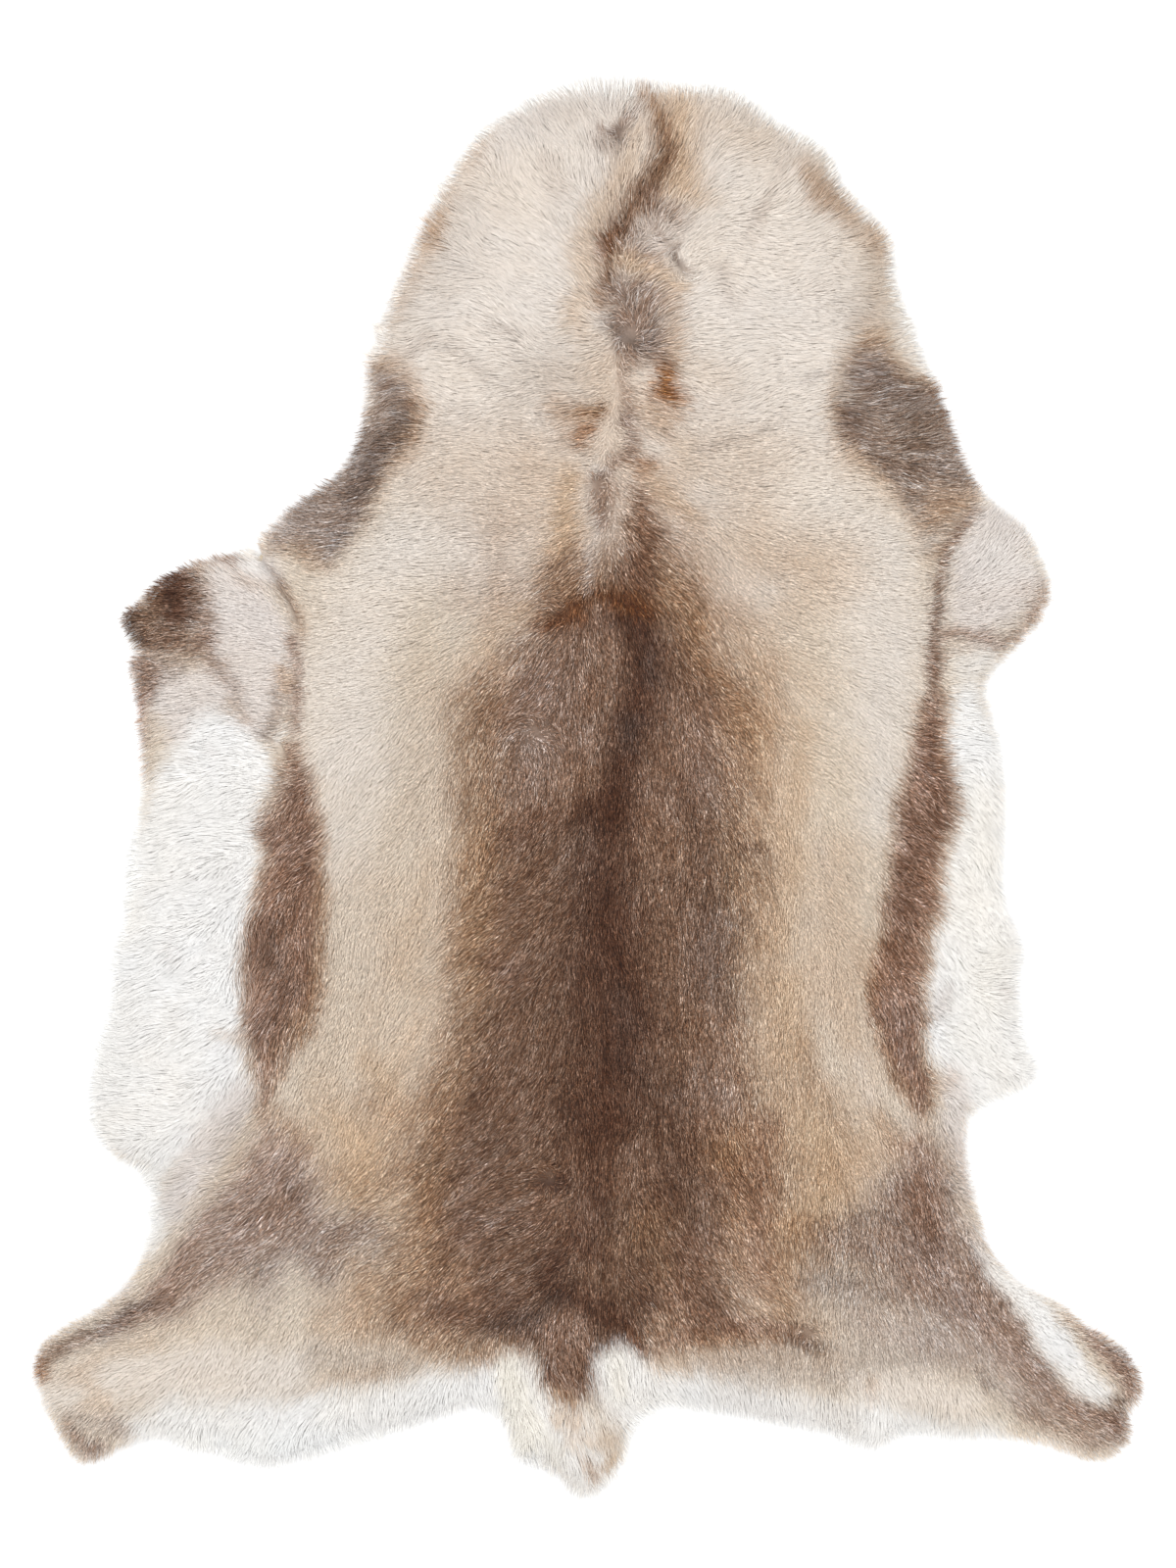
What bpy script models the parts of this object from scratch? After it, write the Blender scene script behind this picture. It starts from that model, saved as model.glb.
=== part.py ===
"""Reindeer hide: one tanned skin with its hair on, laid flat with the hair side up.

Metres, +Z up, neck towards +Y. The origin is under the middle of the hide, on the surface it lies on.
The hide is one closed solid: a flat leather underside, and a top that is the lie of the pile.
"""

import math

import bpy
import bmesh
from mathutils import Vector, noise
from mathutils.geometry import delaunay_2d_cdt, intersect_point_line

MM = 0.001

# Driving sizes, in millimetres
LENGTH = 1300.0  # tip of the tail to the top of the neck
WIDTH = 1024.0  # across the hind legs
RIM_HEIGHT = 5.0  # the leather and thin hair at the cut edge
RIM_WIDTH = 34.0  # how far in from the edge the pile takes to stand at its full depth
COAT_STEP = 16.0  # how wide the step is where the body coat overhangs the belly
COAT_OVERHANG = 5.0  # how much deeper the body coat stands there than the belly
COAT_REACH = 60.0  # how far from the step that difference fades away
GRID = 30.0  # spacing of the points that carry the top
INSETS = (9.0, 22.0)  # rows of points inside the edge, which carry its rounding
CURVE_STEPS = 3  # straight steps between two points of the outline
SHARP_ANGLE = math.radians(50)  # the cut edge stays sharp, and the pile is shaded smooth

# The cut outline, stretch by stretch and anticlockwise from the top of the neck. Columns: x, y
OUTLINE = {
    "neck, left side": (
        (50, 648), (0, 650), (-60, 630), (-100, 602), (-134, 550), (-158, 500),
        (-180, 447), (-200, 385), (-208, 330), (-226, 296), (-273, 260), (-298, 235),
    ),
    "left foreleg": (
        (-321, 217), (-365, 209), (-403, 191), (-412, 177), (-431, 168), (-427, 143),
        (-411, 130), (-423, 117), (-416, 87), (-413, 60),
    ),
    "left belly": (
        (-408, 5), (-416, -45), (-425, -125), (-436, -155), (-436, -195),
        (-450, -240), (-456, -295), (-438, -335), (-404, -351), (-400, -395),
    ),
    "left hind leg": (
        (-420, -445), (-452, -475), (-500, -503), (-512, -523),
        (-507, -555), (-488, -595), (-466, -620), (-448, -614),
    ),
    "rump, left of the tail": (
        (-418, -601), (-385, -596), (-368, -608), (-345, -604), (-306, -621),
        (-250, -610), (-200, -592), (-150, -580), (-88, -568),
    ),
    "tail": (
        (-73, -590), (-66, -617), (-40, -621), (-18, -637), (0, -650),
        (14, -637), (32, -610), (42, -580), (60, -566),
    ),
    "rump, right of the tail": (
        (100, -567), (160, -578), (235, -593), (264, -606),
        (292, -590), (345, -595), (400, -597), (432, -608),
    ),
    "right hind leg": (
        (462, -618), (495, -607), (503, -593), (500, -573), (512, -563), (507, -527),
        (488, -506), (460, -489), (430, -465), (400, -450), (374, -420), (358, -380),
    ),
    "right belly": (
        (349, -335), (353, -297), (390, -276), (417, -263), (402, -235), (396, -175),
        (397, -127), (386, -105), (384, -35), (382, 25), (372, 67), (365, 101),
    ),
    "right foreleg": (
        (385, 123), (412, 152), (427, 180), (420, 207), (402, 245), (374, 265),
    ),
    "neck, right side": (
        (350, 293), (331, 341), (305, 403), (288, 447), (277, 483), (276, 511),
        (257, 529), (228, 562), (219, 587), (178, 610), (134, 641), (90, 647),
    ),
}

# Where the deep coat of the body ends over the thinner hair of the legs and belly. Columns: x, y
COAT_EDGES = {
    "left, shoulder to thigh": (
        (-296, 224), (-270, 163), (-264, 65), (-284, 0), (-318, -95), (-318, -195), (-300, -275), (-310, -350),
    ),
    "right, shoulder to thigh": (
        (352, 262), (320, 195), (322, 100), (336, 0), (322, -90), (308, -195), (306, -285), (322, -350),
    ),
}

# How deep the pile lies, by region. Columns: name, x, y, reach along x, reach along y, depth
PILE = (
    ("neck", 10, 560, 230, 190, 30),
    ("shoulders", 20, 260, 260, 190, 27),
    ("saddle", 0, -80, 240, 300, 25),
    ("rump", 0, -440, 240, 150, 24),
    ("left foreleg", -370, 130, 80, 90, 11),
    ("right foreleg", 380, 190, 60, 80, 15),
    ("left belly", -375, -160, 80, 200, 16),
    ("right belly", 365, -120, 60, 180, 14),
    ("left thigh", -330, -450, 100, 90, 20),
    ("right thigh", 310, -450, 100, 90, 20),
    ("left hock", -470, -555, 90, 70, 10),
    ("right hock", 465, -555, 70, 70, 10),
    ("rear fringe, left", -250, -590, 180, 40, 15),
    ("rear fringe, right", 240, -585, 180, 40, 15),
    ("tail", 0, -600, 60, 60, 22),
)

# Soft troughs where the hair parts or turns. Columns: name, the two ends (x, y), half width, depth
TROUGHS = (
    ("crease behind the left foreleg", (-330, 75), (-255, 45), 14, 4.0),
    ("crease over the left thigh", (-345, -335), (-440, -420), 16, 4.0),
    ("crease over the right thigh", (325, -350), (372, -470), 16, 4.0),
    ("crease below the right rump", (40, -508), (215, -505), 14, 3.0),
    ("crease below the left rump", (-60, -505), (-190, -500), 14, 3.0),
    ("parting along the withers", (18, 330), (18, 190), 16, 3.0),
    ("parting of the neck", (60, 640), (22, 480), 18, 3.5),
)

# The unevenness of the pile. Columns: name, wavelength along x, wavelength along y, height
WAVES = (
    ("tufts and hollows", 120, 150, 3.0),
    ("locks of hair", 45, 55, 1.2),
)


def clear_scene():
    for item in list(bpy.data.objects):
        bpy.data.objects.remove(item, do_unlink=True)


def smooth_outline():
    """The cut edge as a ring of points: a smooth closed curve through the stretches of the outline."""
    corners = [point for stretch in OUTLINE.values() for point in stretch]
    curve = bpy.data.curves.new("outline", "CURVE")
    curve.dimensions = "2D"
    curve.resolution_u = CURVE_STEPS
    spline = curve.splines.new("BEZIER")
    spline.bezier_points.add(len(corners) - 1)
    spline.use_cyclic_u = True
    for point, (x, y) in zip(spline.bezier_points, corners):
        point.co = (x, y, 0)
        point.handle_left_type = point.handle_right_type = "AUTO"
    guide = bpy.data.objects.new("outline", curve)
    bpy.context.scene.collection.objects.link(guide)
    evaluated = guide.evaluated_get(bpy.context.evaluated_depsgraph_get())
    mesh = bpy.data.meshes.new_from_object(evaluated)
    ring = [vertex.co.to_2d() for vertex in mesh.vertices]
    bpy.data.objects.remove(guide)
    bpy.data.meshes.remove(mesh)
    return fitted(ring)


def fitted(ring):
    """The ring with its box centred on the origin and brought to exactly WIDTH by LENGTH."""
    low = Vector((min(p.x for p in ring), min(p.y for p in ring)))
    high = Vector((max(p.x for p in ring), max(p.y for p in ring)))
    middle, size = (low + high) / 2, high - low
    return [Vector(((p.x - middle.x) * WIDTH / size.x, (p.y - middle.y) * LENGTH / size.y)) for p in ring]


def distance_to(point, line, closed=False):
    """The distance from a point to a line of straight pieces."""
    ends = line[1:] + line[:1] if closed else line[1:]
    nearest = math.inf
    for start, end in zip(line, ends):
        _, share = intersect_point_line(point, start, end)
        foot = start.lerp(end, min(max(share, 0.0), 1.0))
        nearest = min(nearest, (point - foot).length)
    return nearest


def inside(point, ring):
    """Whether a point lies inside a ring, by counting the sides that a line to the right crosses."""
    crossed = False
    for start, end in zip(ring, ring[1:] + ring[:1]):
        if (start.y > point.y) != (end.y > point.y):
            at = start.x + (point.y - start.y) * (end.x - start.x) / (end.y - start.y)
            crossed ^= at > point.x
    return crossed


def smooth_step(value):
    value = min(max(value, 0.0), 1.0)
    return value * value * (3.0 - 2.0 * value)


def as_points(rows):
    return [Vector(row) for row in rows]


def body_region():
    """The region of the deep body coat: between the two coat edges, and open towards neck and rump."""
    left, right = (as_points(rows) for rows in COAT_EDGES.values())
    beyond = LENGTH
    above = [Vector((right[0].x, beyond)), Vector((left[0].x, beyond))]
    below = [Vector((left[-1].x, -beyond)), Vector((right[-1].x, -beyond))]
    return left + below + right[::-1] + above


def pile_depth(point, region):
    """How deep the pile lies at a point, before it thins towards the cut edge."""
    total = weights = 0.0
    for _, x, y, reach_x, reach_y, depth in PILE:
        away = ((point.x - x) / reach_x) ** 2 + ((point.y - y) / reach_y) ** 2
        weight = math.exp(-away)
        total += weight * depth
        weights += weight
    depth = total / weights
    edge = min(distance_to(point, as_points(rows)) for rows in COAT_EDGES.values())
    side = edge if inside(point, region) else -edge
    overhang = smooth_step(0.5 + side / COAT_STEP) - 0.5
    depth += COAT_OVERHANG * overhang * math.exp(-((edge / COAT_REACH) ** 2))
    for _, start, end, half_width, fall in TROUGHS:
        away = distance_to(point, [Vector(start), Vector(end)])
        depth -= fall * math.exp(-((away / half_width) ** 2))
    for layer, (_, wave_x, wave_y, height) in enumerate(WAVES):
        depth += height * noise.noise(Vector((point.x / wave_x, point.y / wave_y, layer + 0.5)))
    return depth


def top_height(point, ring, region):
    """The height of the top: the pile's depth, rounded down to the leather at the cut edge."""
    away = distance_to(point, ring, closed=True)
    rise = math.sin(0.5 * math.pi * min(away / RIM_WIDTH, 1.0)) ** 0.8
    return RIM_HEIGHT + (pile_depth(point, region) - RIM_HEIGHT) * rise


def inset_points(ring, inset):
    """Points a little inside the edge, closer together near it, except where the edge turns back on itself."""
    found = []
    for i in range(0, len(ring), 1 if inset == INSETS[0] else 2):
        along = (ring[(i + 1) % len(ring)] - ring[i - 1]).normalized()
        point = ring[i] + Vector((-along.y, along.x)) * inset
        if inside(point, ring) and distance_to(point, ring, closed=True) > 0.85 * inset:
            found.append(point)
    return found


def beside_coat_edges(ring):
    """Points on both sides of each coat edge, which carry its step."""
    found = []
    for rows in COAT_EDGES.values():
        line = as_points(rows)
        for start, end in zip(line, line[1:]):
            across = Vector((start.y - end.y, end.x - start.x)).normalized() * COAT_STEP / 2
            steps = max(1, round((end - start).length / GRID))
            for k in range(steps):
                at = start.lerp(end, (k + 0.5) / steps)
                found += [at + across, at - across]
    return [p for p in found if inside(p, ring) and distance_to(p, ring, closed=True) > INSETS[-1]]


def grid_points(ring, taken):
    """A triangular grid that fills the outline, clear of the points already taken."""
    found = []
    row_gap = GRID * math.sqrt(3.0) / 2.0
    rows = int(LENGTH / 2 / row_gap)
    columns = int(WIDTH / 2 / GRID) + 1
    for j in range(-rows, rows + 1):
        for i in range(-columns, columns + 1):
            point = Vector(((i + 0.5 * (j % 2)) * GRID, j * row_gap))
            if not inside(point, ring) or distance_to(point, ring, closed=True) < INSETS[-1] + 0.4 * GRID:
                continue
            if min((point - other).length for other in taken) > 0.55 * GRID:
                found.append(point)
    return found


def triangles(ring, points):
    """Triangles that fill the ring and use every point given."""
    count = len(ring)
    edges = [(i, (i + 1) % count) for i in range(count)]
    inside_ring = 1
    flat, _, faces, *_ = delaunay_2d_cdt(ring + points, edges, [list(range(count))], inside_ring, 1e-4)
    return flat, faces


def make_hide(collection):
    ring = smooth_outline()
    region = body_region()
    carried = [p for inset in INSETS for p in inset_points(ring, inset)] + beside_coat_edges(ring)
    carried += grid_points(ring, carried)
    flat, faces = triangles(ring, carried)

    solid = bmesh.new()
    top = [solid.verts.new((p.x * MM, p.y * MM, top_height(p, ring, region) * MM)) for p in flat]
    for face in faces:
        solid.faces.new([top[i] for i in face])
    rim = [edge for edge in solid.edges if edge.is_boundary]
    walls = bmesh.ops.extrude_edge_only(solid, edges=rim)["geom"]
    for item in walls:
        if isinstance(item, bmesh.types.BMVert):
            item.co.z = 0.0
    bottom = [item for item in walls if isinstance(item, bmesh.types.BMEdge) and item.is_boundary]
    bmesh.ops.triangle_fill(solid, edges=bottom, use_beauty=True)
    bmesh.ops.triangulate(solid, faces=solid.faces)
    bmesh.ops.recalc_face_normals(solid, faces=solid.faces)

    mesh = bpy.data.meshes.new("hide")
    solid.to_mesh(mesh)
    solid.free()
    mesh.shade_smooth()
    mesh.set_sharp_from_angle(angle=SHARP_ANGLE)
    hide = bpy.data.objects.new("hide", mesh)
    hide.data.materials.append(coat_material())
    collection.objects.link(hide)


def coat_material():
    """Hollow-haired winter coat: a dull, warm grey-brown."""
    material = bpy.data.materials.new("reindeer coat")
    material.use_nodes = True
    shader = material.node_tree.nodes["Principled BSDF"]
    shader.inputs["Base Color"].default_value = (0.38, 0.29, 0.21, 1.0)
    shader.inputs["Roughness"].default_value = 0.85
    shader.inputs["Metallic"].default_value = 0.0
    return material


def main():
    clear_scene()
    collection = bpy.data.collections.new("reindeer hide")
    bpy.context.scene.collection.children.link(collection)
    make_hide(collection)


main()
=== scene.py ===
import math

import bpy
import numpy as np
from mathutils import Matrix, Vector
from mathutils.bvhtree import BVHTree
from mathutils.geometry import delaunay_2d_cdt


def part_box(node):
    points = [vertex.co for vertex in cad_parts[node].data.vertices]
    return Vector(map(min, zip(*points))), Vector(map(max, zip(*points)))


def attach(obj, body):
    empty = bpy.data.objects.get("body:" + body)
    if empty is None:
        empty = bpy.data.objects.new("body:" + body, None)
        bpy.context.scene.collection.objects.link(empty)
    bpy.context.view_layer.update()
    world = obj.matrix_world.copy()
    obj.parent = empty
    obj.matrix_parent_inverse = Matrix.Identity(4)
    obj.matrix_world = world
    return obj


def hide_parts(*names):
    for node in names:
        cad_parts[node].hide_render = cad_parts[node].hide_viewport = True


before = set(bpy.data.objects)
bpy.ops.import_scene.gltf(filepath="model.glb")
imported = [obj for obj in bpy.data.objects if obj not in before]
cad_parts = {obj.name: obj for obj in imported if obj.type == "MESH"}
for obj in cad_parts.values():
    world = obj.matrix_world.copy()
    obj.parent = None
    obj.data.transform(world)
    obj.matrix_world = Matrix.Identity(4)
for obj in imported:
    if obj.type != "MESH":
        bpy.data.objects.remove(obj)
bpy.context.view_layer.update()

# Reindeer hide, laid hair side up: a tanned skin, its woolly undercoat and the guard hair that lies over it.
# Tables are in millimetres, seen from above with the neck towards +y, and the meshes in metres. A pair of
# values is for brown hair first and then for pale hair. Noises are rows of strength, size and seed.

MM = 0.001
TINY = 1e-9
FAR = 1e9
NOISE_KNOTS = 128  # soft noise repeats after so many of its bumps
CHART_MARGIN = 30.0

# Leather
SKIN_THICKNESS = 1.6
SKIN_INSET = 10.0  # how far the hair reaches past the cut edge of the leather
SKIN_EDGE = (1.6, 22, 31)  # how uneven the knife left that edge
SKIN_EDGE_STEP = 6.0
SKIN_GRID = 18.0
INSET_ROUNDS = 12  # rounds of pushing a ring in from the outline
INSET_PUSH = 0.7
LEAST_STEP = 0.45  # nearer neighbours on a ring are dropped, as a share of its step
ROW_STEP = 0.87  # between rows of points, as a share of their spacing, for even triangles
ROW_CLEARANCE = 0.7
SKIN_RIPPLE = 1.2  # how far the laid skin lifts off the floor in places
SKIN_RIPPLE_NOISE = (0.5, 90, 32)
SKIN_FLAT_RIM = 12.0  # along its edge it lies flat
SKIN_RISE = 60.0  # and this much further in it is rippled in full
CLOUD_SIZE = 62.5  # patches where the skin took the tan unevenly
NAP_SIZE = 1.25  # coarser than real suede, so that it shows
NAP_DEPTH = 0.6  # likewise
VEINS = 9.0  # cells of veins from one cloud colour to the opposite one

# Undercoat
WOOL_GRID = 5.0
WOOL_INSET = 9.0
WOOL_EDGE = (1.0, 22, 41)
WOOL_RISE = 25.0  # how far inside its edge it has its full height
WOOL_DEPTH = 5.5  # how far below the lie of the guard hair the wool stands
WOOL_RELIEF = 1.6  # how high its locks stand
WOOL_DARKEST = 0.6  # dark wool lies deeper in shade than white wool
WOOL_WHITE = 0.6  # from this brightness on it is not shaded
WOOL_FOOT = 0.9  # where its edge meets the leather, as a share of the leather's thickness
CRIMP_SIZE = 2.0
CRIMP_DEPTH = 1.0

# The pile as a whole
LEAST_PILE = 4.0
RIM_PILE = 5.0  # the hair that hangs past the outline starts at this height
RIM_FALL = 12.0  # and comes down to the floor this far out
RIM_TURN = 0.9  # towards the outline the hair turns outwards, so that it hides the cut edge
RIM_TURN_FROM = 30.0
COMB_STEP = 12.0
COMB_GRID = 6.0
COMB_NEAR = 9.0  # nearer to a line than this, the hair just follows it
PARTING_WIDTH = 12.0
WILD_FROM, WILD_AT = 14.0, 22.0  # the lengths from which hair wanders more, and at which it wanders most
SLOPE_SHARE = 0.6  # light passes from hair to hair, so the shading turns less than the lie of the pile
NORMAL_FROM_PILE = (0.45, 1.0)  # how far hairs take their shading from the lie of the whole pile

# How the lie of the hair wanders. Columns: radians in short hair, how much more in long hair, size, seed
WANDER = ((0.20, 0.15, 70, 21), (0.16, 0.24, 26, 22))
# How locks run along the lie of the hair. Columns: strength, size, seed, steps each way
LOCKS = ((1.0, 6, 42, 4), (0.6, 14, 43, 2))

# Guard hair: where each one stands and how big it is
SEED = 71
STRANDS = 452000  # on the whole hide
MOST_IN_A_PIECE = 99000
STRAND_WIDTH = 0.68  # several times coarser than real hair, so that there are few enough strands
STRAND_WIDTHS = (0.7, 1.3)  # the thinnest and thickest, as shares of that
ROOT_INSET = 6.0  # no hair grows nearer the outline than this
ROOT_JITTER = 0.6  # as a share of the roots' spacing
OWN_LENGTHS = (0.72, 1.18)  # the shortest and longest, as shares of the region's length
SHORTER_AT_PARTING = 0.4
BEND_AT = 0.5  # where along a hair its two halves meet

# Guard hair: which way each one goes, seen from above, in radians
STRAY = 0.11
STRAY_AT_PARTING = 0.3
TIP_TURN = 1.5  # the tip's half turns further than the root's half
CLUMP_SPACING = 7.0  # hairs that dry together point their tips together
CLUMP_SEED = 51
CLUMP_CELLS = 256  # the clumps' pattern repeats after so many
CLUMP_JITTER = 0.42  # how far a clump's middle moves off its grid, as a share of the spacing
CLUMP_TURN = 0.09
CLUMP_PULL = 0.14  # how strongly a clump draws its tips together
LOCK_SPACING = 24.0
LOCK_SEED = 52
LOCK_TURN = 0.22
LOCK_PULL = 0.26
LOCKS_FROM, LOCKS_AT = 16.0, 26.0  # the lengths from which hair gathers into locks, and at which it all does
LEAST_PULL = 0.3
CALM_RANGE = (0.45, 0.75)  # pale hair lies smoother than brown, in softer locks
CALM_TURN = 0.5
CALM_STRAY = 0.35
TIP_REACH = 25.0  # the furthest that single tips pass the outline
TIP_SCATTER = 31.0  # how unevenly the tips end along the outline
TIP_SCATTER_POWER = 0.6
TRIMS = 4  # rounds of drawing tips back to the outline
LEAST_KEPT = 0.25  # of a hair's length in one round

# Guard hair: how high each one lies
TIP_SINK = 0.3  # below the top of the pile
TIP_DEPTHS = (3.2, 0.4)  # how far down the tips are spread
TIP_LIFT = (1.0, 0.15)  # how far a lock lifts its tips
ROOT_SINK = 6.5
ROOT_DEPTHS = 3.0
ROOT_LIFT = 0.8
LOWEST_TIP = 0.6
LOWEST_TIPS_SPREAD = 2.0
ROOT_ABOVE_SKIN = 0.4
BEND_RISE = 0.66  # how far up from root to tip a hair bends
BEND_ARCH = 0.8
ROLL = 0.5  # how far hairs are rolled about their length, in radians

# Guard hair: its colour
BRIGHTNESS = (0.3, 0.5, 0.2)
DARK_RANGE = (0.12, 0.62)
PALE_RANGE = (0.55, 0.85)
FEATHERING = 2.5  # how far single hairs cross the edge of a marking
SHADE_SPREAD = 0.05  # how much neighbours differ, and how much more they do in dark hair
DARK_SHADE_SPREAD = 0.64
PALE_CALM = 0.8
SHADE_LOCKS = ((0.4, 7, 62, 2),)
PALE_HAIRS = 0.16  # share of the hairs in the brown coat that end in a pale band
PALE_BAND = 0.42
DARK_HAIRS = 0.20  # share of them that are nearly black
DARK_BAND = 0.48
VALUE_BY_CHANNEL = (0.75, 1.0, 1.22)  # a paler hair is a greyer one, and a darker hair a redder one; the cool grey of paler hairs is partly a painted glint of their gloss
DARKEST, PALEST = 0.005, 0.97
BLEACH = 0.8  # hair that reaches past the outline is bleached, unless it is dark
BLEACH_REACH = (1.0, 13.0)
BLEACH_RANGE = (0.3, 0.6)
BANDING = (0.03, 0.30, 0.45)  # how strong the bands along a hair are: in all hair, in all but pale, in dark
BANDING_CALM = 0.5  # long hair is the more even
ROOT_PAINTED_SHADE = (0.12, 0.26)  # painted shade deep in the pile: how much darker a root is: in all but pale hair, in dark hair
OWN_BANDS = 0.37  # each hair has its own part of the noise, this far from its neighbour's
OWN_BANDS_ROUND = 97
BANDS_ON_A_HAIR = 5.0

# The coat's colours as a whole
COLOUR_GRID = 3.0
MARKING_WANDER_X = ((4, 34, 11), (2.5, 13, 12))  # how the edges of the markings wander
MARKING_WANDER_Y = ((4, 34, 13), (2.5, 13, 14))
MOTTLED_RANGE = (0.1, 0.6)  # no animal is one even colour, and the brown coat is mottled the most
MOTTLE = (0.015, 0.06)  # how much all hair varies, and how much more dark hair does
MOTTLE_NOISE = ((1.0, 38, 15), (0.7, 15, 16))
WARMTH = (0.01, 0.025)
WARMTH_NOISE = ((1.0, 55, 17), (0.5, 20, 18))

# How the borders between the pieces of guard hair wander
PIECE_WANDER_X = ((8, 20, 71),)
PIECE_WANDER_Y = ((8, 20, 72),)

# Floor, light and camera, in metres
FLOOR_REACH = 6.0
FLOOR_DROP = 0.0008
FLOOR_WHITE = (0.93, 0.93, 0.93, 1)
DAYLIGHT = 1.02
# Large soft lamps. Columns: name, place, size, watts
LAMPS = (("key", (-1.5, 1.6, 2.6), 2.4, 46), ("fill", (1.8, -1.2, 2.8), 2.0, 26))
CAMERA_DISTANCE = 4.5
CAMERA_OVER = (-0.0009, 0.0063, 0.02)
CAMERA_FIELD = 1.44  # how much the long side of the picture spans


# The colours of the hair and of the leather, as sRGB
COLOURS = {
    "umber": "#543423",
    "dark rust": "#6a3d1e",
    "rust": "#98663a",
    "bark": "#7a5c48",
    "cocoa": "#8a6a56",
    "mocha": "#987d6c",
    "warm brown": "#9b734e",
    "tan": "#b89778",
    "golden tan": "#c9ab8a",
    "sand": "#d2bda7",
    "oat": "#cabdb0",
    "fawn": "#d9ccbc",
    "pale fawn": "#e3dad0",
    "cream": "#e8dfd5",
    "greyish cream": "#dfd6cd",
    "belly white": "#f2f0ed",
    "snow": "#f6f5f2",
    "ivory": "#f0ebe1",
    "lilac white": "#e0d8d2",
    "lilac grey": "#c9bfb8",
    "side band": "#94725e",
    "side band dark": "#7a5a47",
    "slate brown": "#8f7d72",
    "peat": "#5c4a40",
    "rosy brown": "#a58a7b",
    "smoke": "#a8968a",
    "silver": "#c0b0a4",
    "rim tan": "#c6b19e",
    "suede": "#d9cbb4",
    "suede shade": "#c9b595",
}

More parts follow.
